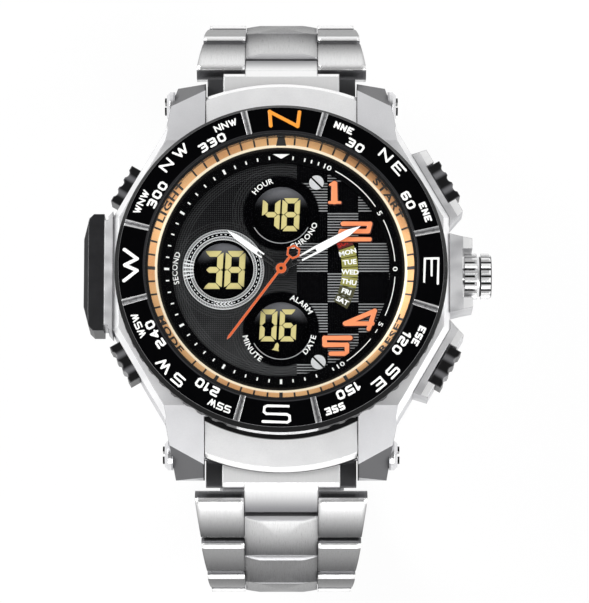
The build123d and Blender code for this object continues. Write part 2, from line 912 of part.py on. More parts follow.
with BuildPart() as pusher_tubes:
    for angle, face in push_pieces.values():
        floor = face - button_thickness - button_travel - 2 * running_gap
        with BuildSketch(radial_plane(angle, bore_radius)):
            Circle(pusher_tube_radius)
            Circle(stem_radius + running_gap, mode=Mode.SUBTRACT)
        extrude(amount=floor - bore_radius)
finish(pusher_tubes, "pusher_tubes")

with BuildPart() as pusher_guards:
    for angle in right_pushers.values():
        toward = -1 if angle > 0 else 1
        lean = radians(flank_slant)
        corner = (side_half_width - flank_distance * cos(lean)) / sin(lean)
        toe_distance = (side_half_width - push_guard_toe * sin(lean)) / cos(lean)
        window = button_length / 2 + button_side_gap
        with BuildSketch(flat_plane(angle, side_axis_z - push_guard_half_height)):
            with BuildLine():
                Polyline(
                    (flank_distance, -toward * push_guard_root),
                    (push_guard_ear, -toward * push_guard_half),
                    (push_guard_ear, -toward * window),
                    (push_guard_face, -toward * window),
                    (push_guard_face, toward * window),
                    (push_guard_ear, toward * window),
                    (push_guard_ear, toward * push_guard_half),
                    (toe_distance, toward * push_guard_toe),
                    (flank_distance, toward * corner),
                    close=True,
                )
            make_face()
        extrude(amount=2 * push_guard_half_height)
        with BuildSketch(radial_plane(angle, flank_distance)):
            Rectangle(2 * window, button_height + 2 * button_side_gap)
        extrude(amount=push_guard_ear - flank_distance, mode=Mode.SUBTRACT)
finish(pusher_guards, "pusher_guards")


# Block and cap at 9 o'clock, drawn in level planes that face that way
with BuildPart() as side_block:
    with BuildSketch(flat_plane(half_turn, side_axis_z - block_half_height)):
        with BuildLine():
            Polyline(
                (side_half_width, block_half_length),
                (block_outer_x, block_face_half_length),
                (block_outer_x, -block_face_half_length),
                (side_half_width, -block_half_length),
                close=True,
            )
        make_face()
        with Locations(((block_outer_x + strip_outer_x) / 2, 0)):
            Rectangle(strip_outer_x - block_outer_x, 2 * (block_face_half_length - strip_inset))
    extrude(amount=2 * block_half_height)
finish(side_block, "side_block")

with BuildPart() as side_cap:
    with BuildSketch(flat_plane(half_turn, side_axis_z - block_half_height)):
        with BuildLine():
            Polyline(
                (strip_outer_x, cap_half_length),
                (cap_corner_x - cap_edge_round, cap_half_length),
                (cap_corner_x, cap_half_length - cap_edge_round),
                (cap_outer_x, cap_flat_half_length),
                (cap_outer_x, -cap_flat_half_length),
                (cap_corner_x, -cap_half_length + cap_edge_round),
                (cap_corner_x - cap_edge_round, -cap_half_length),
                (strip_outer_x, -cap_half_length),
                close=True,
            )
        make_face()
    extrude(amount=2 * block_half_height)
    chamfer(side_cap.faces().sort_by(Axis.X)[0].edges().filter_by(Axis.Y), cap_edge_round)
finish(side_cap, "side_cap")


# Lug screws and spring bars
with BuildPart() as lug_screws_and_bars:
    for side in (1, -1):
        for across in (1, -1):
            face = Plane(
                origin=(across * lug_tip_half_width, side * bar_y, bar_z),
                x_dir=(0, 1, 0),
                z_dir=(across, 0, 0),
            )
            with BuildSketch(face.offset(lug_screw_seat)):
                Circle(lug_screw_radius)
            extrude(amount=lug_screw_height)
            rim = lug_screws_and_bars.edges(Select.LAST).group_by(Axis.X)[-1 if across > 0 else 0]
            chamfer(rim, lug_screw_round)
            with BuildSketch(face.offset(lug_screw_seat + lug_screw_height)):
                Circle(lug_screw_face_radius)
            extrude(amount=lug_screw_face_height)
            with BuildSketch(face.offset(-lug_screw_depth)):
                Circle(lug_screw_shank)
            extrude(amount=lug_screw_depth + lug_screw_seat)
            slot_floor = lug_screw_seat + lug_screw_height + lug_screw_face_height - screw_slot_depth
            with BuildSketch(face.offset(slot_floor)):
                Rectangle(screw_slot_width, 2 * lug_screw_face_radius + cut_over)
            extrude(amount=screw_slot_depth, mode=Mode.SUBTRACT)
        bar_half = lug_tip_half_width - lug_screw_depth - seated_gap
        with BuildSketch(Plane.YZ.offset(-bar_half)):
            with Locations((side * bar_y, bar_z)):
                Circle(bar_radius)
        extrude(amount=2 * bar_half)
finish(lug_screws_and_bars, "lug_screws_and_bars")


# Plates between the lugs: a sloping top with a curved outer edge and a bevel along it
with BuildPart() as lug_plates:
    for side in (1, -1):
        with BuildSketch(Plane.YZ.offset(-plate_half_width)):
            with BuildLine():
                Polyline(
                    (side * plate_seat_y, plate_shelf_z),
                    (side * plate_seat_y, plate_inner_z),
                    (side * plate_outer_y, plate_outer_z),
                    (side * plate_outer_y, plate_shelf_z),
                    close=True,
                )
            make_face()
        extrude(amount=2 * plate_half_width)
    curve_radius = (plate_half_width**2 + plate_curve_sagitta**2) / (2 * plate_curve_sagitta)
    for side in (1, -1):
        centre_y = side * (plate_outer_y - curve_radius)
        with BuildSketch(Plane.XY.offset(plate_shelf_z)):
            with Locations((0, side * plate_outer_y)):
                Rectangle(2 * plate_half_width + cut_over, plate_trim_width)
            with Locations((0, centre_y)):
                Circle(curve_radius, mode=Mode.SUBTRACT)
        extrude(amount=plate_inner_z - plate_shelf_z, mode=Mode.SUBTRACT)
        curved = lug_plates.edges().filter_by(GeomType.ELLIPSE).sort_by(Axis.Y)
        chamfer(curved[-1 if side > 0 else 0], plate_bevel)
    with BuildSketch(Plane.XY.offset(plate_shelf_z)):
        Circle(collar_radius + running_gap)
    extrude(amount=plate_inner_z, mode=Mode.SUBTRACT)
finish(lug_plates, "lug_plates")


# Bracelet. A row is drawn in the plane of its side view: local x runs from its hinge to the
# next one, local y points out of the loop.
def row_angle(k):
    """How far row k points below the dial's plane; row 0 is the first."""
    return first_bend + k * row_bend


def hinge(k):
    """Side-view place of hinge line k; hinge 0 is at the end link."""
    y, z = hinge_y, hinge_z
    for row in range(k):
        y += row_pitch * cos(radians(row_angle(row)))
        z -= row_pitch * sin(radians(row_angle(row)))
    return y, z


def row_plane(side, k):
    """Side-view plane of row k on the 12 o'clock side (1) or the 6 o'clock side (-1)."""
    y, z = hinge(k)
    a = radians(row_angle(k))
    return Plane(
        origin=(0, side * y, z),
        x_dir=(0, side * cos(a), -sin(a)),
        z_dir=(side, 0, 0),
    )


half_thickness = link_thickness / 2
link_half_widths = [
    cover_half_width + share * (link_root_half_width - cover_half_width) for share in link_taper_shares
]


def link_profile(start, end, nose, at_start):
    """Side view of a link: crowned top with bevels, and round inside the loop at its own hinge."""
    mid = nose * diagonal
    with BuildLine() as outline:
        near_low = (start, half_thickness - link_chamfer)
        near_top = (start + link_chamfer, half_thickness)
        far_top = (end - link_chamfer, half_thickness)
        far_low = (end, half_thickness - link_chamfer)
        Line(near_low, near_top)
        ThreePointArc(near_top, ((start + end) / 2, half_thickness + link_crown), far_top)
        Line(far_top, far_low)
        if at_start:
            Polyline(far_low, (end, -nose), (0, -nose))
            ThreePointArc((0, -nose), (-mid, -mid), (-nose, 0))
            Line((-nose, 0), near_low)
        else:
            Line(far_low, (end, 0))
            ThreePointArc((end, 0), (row_pitch + mid, -mid), (row_pitch, -nose))
            Polyline((row_pitch, -nose), (start, -nose), near_low)
    make_face(outline.edges())


def make_row(side, k):
    plane = row_plane(side, k)
    level = Plane(origin=plane.origin, x_dir=plane.x_dir, z_dir=plane.y_dir)
    across = Plane(origin=plane.origin, x_dir=(-side, 0, 0), z_dir=plane.x_dir)
    near, far = link_half_widths[k], link_half_widths[k + 1]
    outer_end = row_pitch - outer_nose - row_gap
    centre_start = centre_nose + row_gap
    centre_end = row_pitch + centre_nose
    with BuildPart() as row:
        for flank in (1, -1):
            base = centre_half + seam_half_gap
            with BuildSketch(plane.offset(flank * base)):
                link_profile(-outer_nose, outer_end, outer_nose, True)
            extrude(amount=flank * (near - base))
        with BuildSketch(plane.offset(-centre_half + seam_half_gap)):
            link_profile(centre_start, centre_end, centre_nose, False)
        extrude(amount=2 * (centre_half - seam_half_gap))
        with BuildSketch(across):
            with BuildLine():
                Polyline(
                    (-centre_half, half_thickness - link_side_drop),
                    (-centre_half, half_thickness + cut_over),
                    (centre_half, half_thickness + cut_over),
                    (centre_half, half_thickness - link_side_drop),
                )
                ThreePointArc(
                    (centre_half, half_thickness - link_side_drop),
                    (0, half_thickness + link_crown),
                    (-centre_half, half_thickness - link_side_drop),
                )
            make_face()
        extrude(amount=centre_end + cut_over, mode=Mode.SUBTRACT)
        with BuildSketch(plane.offset(-centre_half - crossbar_inset)):
            with Locations(((centre_start + outer_end) / 2, -seam_depth)):
                Rectangle(
                    outer_end - centre_start - crossbar_inset,
                    link_thickness - 2 * seam_depth - crossbar_inset,
                )
        extrude(amount=2 * (centre_half + crossbar_inset))
        with BuildSketch(level.offset(-link_thickness)):
            with BuildLine():
                Polyline(
                    (-outer_nose - seated_gap, near),
                    (outer_end, far),
                    (centre_end + cut_over, far),
                    (centre_end + cut_over, -far),
                    (outer_end, -far),
                    (-outer_nose - seated_gap, -near),
                    close=True,
                )
            make_face()
        extrude(amount=2 * link_thickness, mode=Mode.INTERSECT)
        with BuildSketch(plane.offset(-near)):
            Circle(pin_radius + seated_gap)
            with Locations((row_pitch, 0)):
                Circle(pin_radius + running_gap)
        extrude(amount=2 * near, mode=Mode.SUBTRACT)
        with BuildSketch(plane.offset(-near + pin_inset)):
            Circle(pin_radius)
        extrude(amount=2 * (near - pin_inset))
    hour = 12 if side > 0 else 6
    finish(row, f"bracelet_{hour}_row_{k + 1}")


for side in (1, -1):
    for k in range(rows_a_side):
        make_row(side, k)


# End links: a wide foot on the spring bar, low wings that fill the lug gap, and a tongue to the
# first hinge line
end_wing_y = hinge_y - outer_nose - row_gap

for side, label in ((1, "end_link_12"), (-1, "end_link_6")):
    with BuildPart() as end_link:
        with BuildSketch(Plane.YZ.offset(-end_half_width)):
            with BuildLine():
                Polyline(
                    (side * end_inner_y, end_bottom_z),
                    (side * end_inner_y, end_top_z),
                    (side * end_foot_y, end_top_z),
                    (side * end_ledge_y, end_ledge_z),
                    (side * end_ledge_y, end_ledge_bottom_z),
                    (side * end_foot_y, end_ledge_bottom_z),
                    (side * end_foot_y, end_bottom_z),
                    close=True,
                )
            make_face()
        extrude(amount=2 * end_half_width)
        with BuildSketch(Plane.YZ.offset(-end_wing_half_width)):
            with Locations((side * (end_inner_y + end_wing_y) / 2, (end_bottom_z + end_wing_top_z) / 2)):
                Rectangle(end_wing_y - end_inner_y, end_wing_top_z - end_bottom_z)
        extrude(amount=2 * end_wing_half_width)
        tongue = centre_half - seam_half_gap
        top_y = hinge_y + centre_nose * sin(radians(first_bend))
        top_z = hinge_z + centre_nose * cos(radians(first_bend))
        with BuildSketch(Plane.YZ.offset(-tongue)):
            with BuildLine():
                Polyline(
                    (side * bar_y, end_top_z),
                    (side * end_foot_y, end_top_z),
                    (side * (end_ledge_y + link_chamfer), end_ledge_z),
                    (side * top_y, top_z),
                    (side * hinge_y, hinge_z),
                    (side * (hinge_y - centre_nose), hinge_z),
                    (side * bar_y, end_bottom_z),
                    close=True,
                )
            make_face()
            with Locations((side * hinge_y, hinge_z)):
                Circle(centre_nose)
        extrude(amount=2 * tongue)
        with BuildSketch(Plane.YZ.offset(-end_wing_half_width)):
            with Locations((side * bar_y, bar_z)):
                Circle(bar_radius + seated_gap)
            with Locations((side * hinge_y, hinge_z)):
                Circle(pin_radius + running_gap)
        extrude(amount=2 * end_wing_half_width, mode=Mode.SUBTRACT)
    finish(end_link, label)


# Folding clasp: cover on the 12 o'clock side, middle blade, inner blade to the 6 o'clock side
clasp_y, clasp_z = hinge(rows_a_side)
cover_near_y = clasp_y + outer_nose
cheek_inner = centre_half + seam_half_gap
cover_inner_half = cover_half_width - cover_wall
notch_y = clasp_y - centre_nose - row_gap

with BuildPart() as clasp_cover:
    with BuildSketch(Plane.YZ.offset(-cover_half_width)):
        with BuildLine():
            Polyline(
                (cover_near_y, clasp_z),
                (cover_near_y, cover_floor_z),
                (cover_near_y - cover_floor_thickness, cover_floor_z - cover_floor_thickness),
                (cover_far_y + cover_floor_thickness, cover_floor_z - cover_floor_thickness),
                (cover_far_y, cover_floor_z),
                (cover_far_y, cover_rim_z),
                (clasp_y, cover_rim_z),
            )
            ThreePointArc(
                (clasp_y, cover_rim_z),
                (
                    clasp_y + (cover_rim_z - clasp_z) * diagonal,
                    clasp_z + (cover_rim_z - clasp_z) * diagonal,
                ),
                (clasp_y + cover_rim_z - clasp_z, clasp_z),
            )
            Line((clasp_y + cover_rim_z - clasp_z, clasp_z), (cover_near_y, clasp_z))
        make_face()
    extrude(amount=2 * cover_half_width)
    with BuildSketch(Plane.XY.offset(cover_floor_z)):
        with Locations((0, (notch_y + cover_far_y - cut_over) / 2)):
            Rectangle(2 * cover_inner_half, notch_y - cover_far_y + cut_over)
    extrude(amount=link_thickness + cut_over, mode=Mode.SUBTRACT)
    with BuildSketch(Plane.XY.offset(cover_floor_z - cover_floor_thickness)):
        with Locations((0, (notch_y + cover_near_y + cut_over) / 2)):
            Rectangle(2 * cheek_inner, cover_near_y - notch_y + cut_over)
    extrude(amount=2 * link_thickness, mode=Mode.SUBTRACT)
    for flank in (1, -1):
        lug_x = flank * (middle_blade_half + knuckle_gap + clasp_lug_width / 2)
        with BuildSketch(Plane.YZ.offset(lug_x - clasp_lug_width / 2)):
            with Locations((cover_hinge_y, cover_hinge_z)):
                Circle(knuckle_radius)
            with Locations((cover_hinge_y, (cover_hinge_z + cover_floor_z) / 2)):
                Rectangle(2 * knuckle_radius, cover_hinge_z - cover_floor_z)
        extrude(amount=clasp_lug_width)
    with BuildSketch(Plane.YZ.offset(-cover_half_width)):
        with Locations((clasp_y, clasp_z)):
            Circle(pin_radius + seated_gap)
    extrude(amount=2 * cover_half_width, mode=Mode.SUBTRACT)
    with BuildSketch(Plane.YZ.offset(-cover_inner_half)):
        with Locations((cover_hinge_y, cover_hinge_z)):
            Circle(clasp_pin_radius + seated_gap)
    extrude(amount=2 * cover_inner_half, mode=Mode.SUBTRACT)
    with BuildSketch(Plane.YZ.offset(-cover_half_width)):
        with Locations((clasp_button_y, clasp_button_z)):
            Rectangle(
                2 * (clasp_button_half_length + running_gap),
                2 * (clasp_button_half_height + running_gap),
            )
    extrude(amount=2 * cover_half_width, mode=Mode.SUBTRACT)
    with BuildSketch(Plane.YZ.offset(-cover_half_width + pin_inset)):
        with Locations((clasp_y, clasp_z)):
            Circle(pin_radius)
    extrude(amount=2 * (cover_half_width - pin_inset))
    pin_half = middle_blade_half + knuckle_gap + clasp_lug_width
    with BuildSketch(Plane.YZ.offset(-pin_half)):
        with Locations((cover_hinge_y, cover_hinge_z)):
            Circle(clasp_pin_radius)
    extrude(amount=2 * pin_half)
finish(clasp_cover, "clasp_cover")

with BuildPart() as clasp_middle_blade:
    with BuildSketch(Plane.YZ.offset(-middle_blade_half)):
        with BuildLine():
            Polyline(
                (cover_hinge_y, middle_blade_bottom),
                (blade_hinge_y, middle_blade_bottom),
                (blade_hinge_y, middle_blade_bottom + blade_thickness),
                (cover_hinge_y, middle_blade_bottom + blade_thickness),
                close=True,
            )
        make_face()
        with Locations((cover_hinge_y, cover_hinge_z), (blade_hinge_y, blade_hinge_z)):
            Circle(knuckle_radius)
    extrude(amount=2 * middle_blade_half)
    with BuildSketch(Plane.YZ.offset(-middle_blade_half)):
        with Locations((cover_hinge_y, cover_hinge_z), (blade_hinge_y, blade_hinge_z)):
            Circle(clasp_pin_radius + running_gap)
    extrude(amount=2 * middle_blade_half, mode=Mode.SUBTRACT)
finish(clasp_middle_blade, "clasp_middle_blade")

fork_near_y = cover_far_y - clasp_end_gap
fork_far_y = -clasp_y - outer_nose
with BuildPart() as clasp_inner_blade:
    with BuildSketch(Plane.XY.offset(inner_blade_bottom)):
        with Locations((0, (blade_hinge_y + fork_near_y) / 2)):
            Rectangle(2 * inner_blade_half, blade_hinge_y - fork_near_y)
        with Locations((0, blade_hinge_y)):
            Rectangle(
                2 * (middle_blade_half + knuckle_gap),
                2 * (knuckle_radius + knuckle_gap),
                mode=Mode.SUBTRACT,
            )
    extrude(amount=blade_thickness)
    for flank in (1, -1):
        start = middle_blade_half + knuckle_gap
        with BuildSketch(Plane.YZ.offset(flank * start)):
            with Locations((blade_hinge_y, blade_hinge_z)):
                Circle(knuckle_radius)
        extrude(amount=flank * (inner_blade_half - start))
        with BuildSketch(Plane.YZ.offset(flank * cheek_inner)):
            with BuildLine():
                Polyline(
                    (fork_near_y, inner_blade_bottom + blade_thickness),
                    (-clasp_y, inner_blade_bottom + blade_thickness),
                    (fork_far_y, clasp_z),
                    (fork_far_y, clasp_z - half_thickness),
                    (fork_near_y, clasp_z - half_thickness),
                    close=True,
                )
            make_face()
        extrude(amount=flank * (cover_half_width - cheek_inner))
    # the ears stop short of the bar: a half eye that is open towards the bracelet
    with BuildSketch(Plane.YZ.offset(-cover_half_width)):
        with Locations((-clasp_y, clasp_z)):
            Circle(pin_radius + eye_play)
        with Locations((-clasp_y - outer_nose, clasp_z)):
            Rectangle(2 * outer_nose, 2 * (pin_radius + eye_play))
    extrude(amount=2 * cover_half_width, mode=Mode.SUBTRACT)
    with BuildSketch(Plane.YZ.offset(-inner_blade_half)):
        with Locations((blade_hinge_y, blade_hinge_z)):
            Circle(clasp_pin_radius + seated_gap)
    extrude(amount=2 * inner_blade_half, mode=Mode.SUBTRACT)
    with BuildSketch(Plane.YZ.offset(-inner_blade_half + pin_inset)):
        with Locations((blade_hinge_y, blade_hinge_z)):
            Circle(clasp_pin_radius)
    extrude(amount=2 * (inner_blade_half - pin_inset))
finish(clasp_inner_blade, "clasp_inner_blade")

for flank, label in ((1, "clasp_button_right"), (-1, "clasp_button_left")):
    with BuildPart() as clasp_button:
        with BuildSketch(Plane.YZ.offset(flank * cover_inner_half)):
            with Locations((clasp_button_y, clasp_button_z)):
                Rectangle(2 * clasp_button_half_length, 2 * clasp_button_half_height)
        extrude(amount=flank * (cover_wall + clasp_button_proud))
    finish(clasp_button, label)

print("last hinge line", clasp_y, clasp_z)
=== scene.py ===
import math

import bmesh
import bpy
from mathutils import Matrix, Vector


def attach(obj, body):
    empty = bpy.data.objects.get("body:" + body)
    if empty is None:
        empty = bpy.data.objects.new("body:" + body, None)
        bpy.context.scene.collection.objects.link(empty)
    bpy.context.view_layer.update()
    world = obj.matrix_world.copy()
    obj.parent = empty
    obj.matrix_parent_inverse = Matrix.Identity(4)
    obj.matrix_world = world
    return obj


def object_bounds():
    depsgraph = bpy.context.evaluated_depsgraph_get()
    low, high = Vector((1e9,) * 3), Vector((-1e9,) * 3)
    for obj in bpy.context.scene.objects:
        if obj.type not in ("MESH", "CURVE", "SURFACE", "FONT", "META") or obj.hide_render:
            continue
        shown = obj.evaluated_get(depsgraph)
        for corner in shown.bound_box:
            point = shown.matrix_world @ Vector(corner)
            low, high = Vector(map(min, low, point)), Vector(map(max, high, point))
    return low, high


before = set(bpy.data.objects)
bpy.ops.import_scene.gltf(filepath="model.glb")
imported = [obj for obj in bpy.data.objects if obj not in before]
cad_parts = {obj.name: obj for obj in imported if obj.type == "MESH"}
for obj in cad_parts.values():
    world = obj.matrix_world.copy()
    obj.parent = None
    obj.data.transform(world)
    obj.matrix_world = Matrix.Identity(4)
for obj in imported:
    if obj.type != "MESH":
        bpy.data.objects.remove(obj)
cad_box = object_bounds()

MM = 0.001

# Cosines between the rounded and the flat normal where an edge begins and where it is full
EDGE_BEGINS, EDGE_FULL = 0.999, 0.93


# Shader sums

def by_node(operation):
    """An operator that becomes one node."""
    return lambda self, *others: self.math(operation, *others)


class Wire:
    """A socket of a node tree that takes part in plain sums, with | for the higher of two masks."""

    def __init__(self, finish, socket):
        self.finish, self.socket = finish, socket

    def also(self, output):
        """Another output of the same node."""
        return Wire(self.finish, self.socket.node.outputs[output])

    def math(self, operation, *others):
        inputs = dict(enumerate((self,) + others))
        return self.finish.node("ShaderNodeMath", {"operation": operation}, inputs)

    __add__ = __radd__ = by_node("ADD")
    __sub__ = by_node("SUBTRACT")
    __mul__ = __rmul__ = by_node("MULTIPLY")
    __truediv__ = by_node("DIVIDE")
    __pow__ = by_node("POWER")
    __mod__ = by_node("FLOORED_MODULO")
    __abs__ = by_node("ABSOLUTE")
    __floor__ = by_node("FLOOR")
    __gt__ = by_node("GREATER_THAN")
    __lt__ = by_node("LESS_THAN")
    __or__ = by_node("MAXIMUM")

    def __rsub__(self, other):
        return self.finish.node("ShaderNodeMath", {"operation": "SUBTRACT"}, {0: other, 1: self})

    def between(self, low, high):
        """1 between two limits, 0 outside them."""
        return (self > low) * (self < high)

    def stripes(self, pitch, low, high):
        """1 on stripes of one pitch, each from a low to a high share of it."""
        return (self / pitch).math("FRACT").between(low, high)

    def ramp(self, low, high):
        """0 below low, 1 above high and smooth between."""
        return self.finish.node("ShaderNodeMapRange", {"interpolation_type": "SMOOTHSTEP"},
                                {0: self, 1: low, 2: high})


class Finish:
    """A material, or the world, with its tree of nodes."""

    def __init__(self, name, world=None):
        self.owner = world or bpy.data.materials.new(name)
        self.owner.use_nodes = True
        self.tree = self.owner.node_tree
        self.tree.nodes.clear()
        self.at = None

    def node(self, kind, settings=None, inputs=None, output=0):
        """A new node with its settings and inputs, as the wire of one of its outputs."""
        made = self.tree.nodes.new(kind)
        for key, value in (settings or {}).items():
            if key == "stops":
                elements = made.color_ramp.elements
                while len(elements) < len(value):
                    elements.new(0.5)
                for element, (place, colour) in zip(elements, value):
                    element.position, element.color = place, colour
            else:
                setattr(made, key, value)
        for key, value in (inputs or {}).items():
            if isinstance(value, Wire):
                self.tree.links.new(value.socket, made.inputs[key])
            else:
                made.inputs[key].default_value = value
        return Wire(self, made.outputs[output]) if len(made.outputs) else None

    def here(self):
        """The place on the watch in millimetres, made once."""
        if not self.at:
            at = self.node("ShaderNodeTexCoord", output="Object")
            self.at = self.node("ShaderNodeVectorMath", {"operation": "SCALE"},
                                {0: at, "Scale": 1 / MM})
        return self.at

    def parts(self, vector):
        """The three parts of a vector."""
        x = self.node("ShaderNodeSeparateXYZ", inputs={0: vector})
        return x, x.also(1), x.also(2)

    def place(self):
        """The three parts of the place on the watch."""
        return self.parts(self.here())

    def radius(self, x0=0.0, y0=0.0):
        """Distance from an upright axis."""
        x, y, _ = self.place()
        x, y = x - x0, y - y0
        return (x * x + y * y) ** 0.5

    def bearing(self, x0=0.0, y0=0.0):
        """Clockwise bearing in degrees round an upright axis."""
        x, y, _ = self.place()
        return (x - x0).math("ARCTAN2", y - y0) * math.degrees(1)

    def facing(self):
        """The three parts of the object's own normal."""
        return self.parts(self.node("ShaderNodeTexCoord", output="Normal"))

    def noise(self, scale, detail=2.0, roughness=0.5):
        """Soft noise with one scale per millimetre, or with one for each axis."""
        at = self.here()
        if isinstance(scale, tuple):
            at = self.node("ShaderNodeVectorMath", {"operation": "MULTIPLY"}, {0: at, 1: scale})
            scale = 1.0
        return self.node("ShaderNodeTexNoise", {"noise_dimensions": "3D"},
                         {"Vector": at, "Scale": scale, "Detail": detail, "Roughness": roughness})

    def mix(self, share, low, high):
        """The colour low at share 0 and high at share 1."""
        return self.node("ShaderNodeMix", {"data_type": "RGBA"}, {0: share, 6: low, 7: high},
                         output=2)

    def rounded(self, radius):
        """A normal that is rounded over edges, which also smooths small facets."""
        return self.node("ShaderNodeBevel", {"samples": 6}, {"Radius": radius * MM})

    def edge(self, soft):
        """1 along the edges that the rounded normal softens, 0 on flats."""
        flat = self.node("ShaderNodeNewGeometry", output="Normal")
        same = self.node("ShaderNodeVectorMath", {"operation": "DOT_PRODUCT"}, {0: soft, 1: flat},
                         output="Value")
        return same.ramp(EDGE_BEGINS, EDGE_FULL)

    def bump(self, height, distance, strength, normal=None):
        inputs = {"Height": height, "Distance": distance * MM, "Strength": strength}
        if normal:
            inputs["Normal"] = normal
        return self.node("ShaderNodeBump", inputs=inputs)

    def surface(self, shader):
        self.node("ShaderNodeOutputMaterial", inputs={"Surface": shader})
        return self.owner

    def coat(self, colour, roughness, metallic, normal=None, **more):
        """The finished material as one coated surface."""
        inputs = {"Base Color": colour, "Roughness": roughness, "Metallic": metallic}
        if normal:
            inputs["Normal"] = normal
        names = {"specular": "Specular IOR Level", "clear": "Coat Weight",
                 "clear_roughness": "Coat Roughness"}
        for key, value in more.items():
            inputs[names[key]] = value
        return self.surface(self.node("ShaderNodeBsdfPrincipled", inputs=inputs))


def tone(red, green, blue):
    """A display colour 0 to 255 as a linear colour."""
    def linear(v):
        v /= 255
        return v / 12.92 if v <= 0.04045 else ((v + 0.055) / 1.055) ** 2.4
    return (linear(red), linear(green), linear(blue), 1.0)


def grey(level, blue=2):
    """A display grey 0 to 255, its blue a little off, as a linear colour."""
    return tone(level, level, level + blue)


def scaled(colour, share):
    """A linear colour made darker or brighter by a factor."""
    return tuple(min(c * share, 1.0) for c in colour[:3]) + (1.0,)


# Finishes. Lengths are millimetres in the watch's frame, bearings are degrees clockwise from 12.

PUSHER_ANGLE = math.radians(30)
BEZEL_TURN = 1.25
WINDOWS = ((0.0, 8.7), (0.0, -9.1), (-8.7, 0.0))

# The bracelet: rows a side, half width of its centre links, first hinge, pitch and bends
ROWS, CENTRE_HALF, HINGE_Y, HINGE_Z, ROW_PITCH = 7, 5.6, 33.7, -0.5, 8.0
FIRST_BEND, ROW_BEND = 46.6, 19.5

# Painted shading: greys of the near and the far end of the outer links and of the centre links, row
# by row, bright near the case and darker away from it
LINK_SHADING_GREYS = ((216, 40, 200, 44), (150, 34, 112, 40), (84, 66, 104, 84), (196, 118, 196, 118))
FIRST_ROW_PAINTED_LIGHT = 26  # painted light: the first row at 12 o'clock is painted brighter, as it catches more light


def quarter_off(bearing):
    """Degrees from the nearest of the four quarters of the turned bezel."""
    return abs((bearing - BEZEL_TURN + 45) % 90 - 45)


def blasted_steel():
    """Bead-blasted steel with painted shade as thin dark lines along its edges, polished slants
    painted brighter as a painted highlight with a blurred painted reflection, flanks a little
    darker as painted shade, shoulders painted bright against the bezel's shade, painted dark shade
    on the facets at the lugs' ends, and painted shade in the pockets between the lugs and under the
    bezel."""
    slant_end, back_rim, lug_inside, pocket_half, pocket_start = 26.5, 0.7, 11.55, 11.8, 24.0
    collar_z, collar_radius = 11.0, 22.0
    f = Finish("blasted_steel")
    x, y, z = f.place()
    _, ny, nz = f.facing()
    soft = f.rounded(0.14)
    edge = f.edge(soft)
    grain = f.noise(11.0, 3.0, 0.7)
    painted_reflection = f.noise(0.35).ramp(0.2, 0.8)
    shade = f.mix(f.noise(0.25), grey(200), grey(216))
    shade = f.mix((grain - 0.5) * 1.1 + 0.2, shade, grey(176, 3))
    # painted highlight: the polished slants painted brighter, with a blurred painted reflection
    slant = nz.between(0.3, 0.85) * (abs(y) < slant_end)
    shade = f.mix(slant * 0.8, shade, f.mix(painted_reflection, grey(234, 1), grey(250, 0)))
    # painted shade: the flanks a little darker, with a blurred painted reflection
    flank = (abs(nz) < 0.3) * (z > back_rim)
    shade = f.mix(flank * 0.8, shade, f.mix(painted_reflection, grey(184, 3), grey(204)))
    # painted shade: the facets at the lugs' ends painted dark
    tip = (abs(ny) > 0.6) * (nz > 0.2) * (abs(x) > lug_inside)
    shade = f.mix(tip, shade, f.mix(grain, grey(84), grey(110)))
    # painted shade in the pockets between the lugs and on the collar under the bezel
    pocket = (abs(x) < pocket_half) * (abs(y) > pocket_start) * (nz < 0.5)
    radius = f.radius()
    recess_shade = pocket | (z > collar_z) * (radius < collar_radius)
    shade = f.mix(recess_shade, shade, f.mix(grain, grey(44), grey(66)))
    seen = 1 - recess_shade
    # painted light: the case top beside the bezel painted bright against the bezel's shade
    shoulder_light = (1 - radius.ramp(26.6, 28.2)) * (1 - abs(y).ramp(17.5, 21.5)) * (nz > 0.85) * seen
    shade = f.mix(shoulder_light * 0.8, shade, grey(246, 1))
    # painted shade: thin dark lines along the edges
    shade = f.mix(edge * 0.6 * seen, shade, grey(112))
    rough = 0.46 + (grain - 0.5) * 0.2 - edge * 0.2 - slant * 0.14
    return f.coat(shade, rough, 0.55, f.bump(grain, 0.02, 0.55, soft))


def plate_steel():
    """Blasted plates between the lugs, with a painted shadow under the bezel, a polished bevel
    painted bright as a painted highlight, upright walls in painted shade and painted dark lines
    along the edges."""
    f = Finish("plate_steel")
    nz = f.facing()[2]
    soft = f.rounded(0.1)
    grain = f.noise(11.0, 3.0, 0.7)
    shade = f.mix(f.noise(0.3), grey(234, 1), grey(250, 0))
    shade = f.mix((grain - 0.5) * 1.1 + 0.15, shade, grey(196))
    # painted highlight: the polished bevel painted bright
    bevel = nz.between(0.4, 0.88)
    shade = f.mix(bevel, shade, grey(250, 0))
    # painted shade on the upright walls
    shade = f.mix(abs(nz) < 0.4, shade, grey(50))
    # painted shade: dark lines along the edges
    shade = f.mix(f.edge(soft) * 0.8, shade, grey(84))
    # painted shadow of the bezel on the plates near it
    bezel_shadow = 1 - f.radius().ramp(25.3, 25.5)
    shade = f.mix(bezel_shadow, shade, grey(14, 1))
    return f.coat(shade, 0.44 - bevel * 0.2, 0.8, f.bump(grain, 0.02, 0.5, soft))


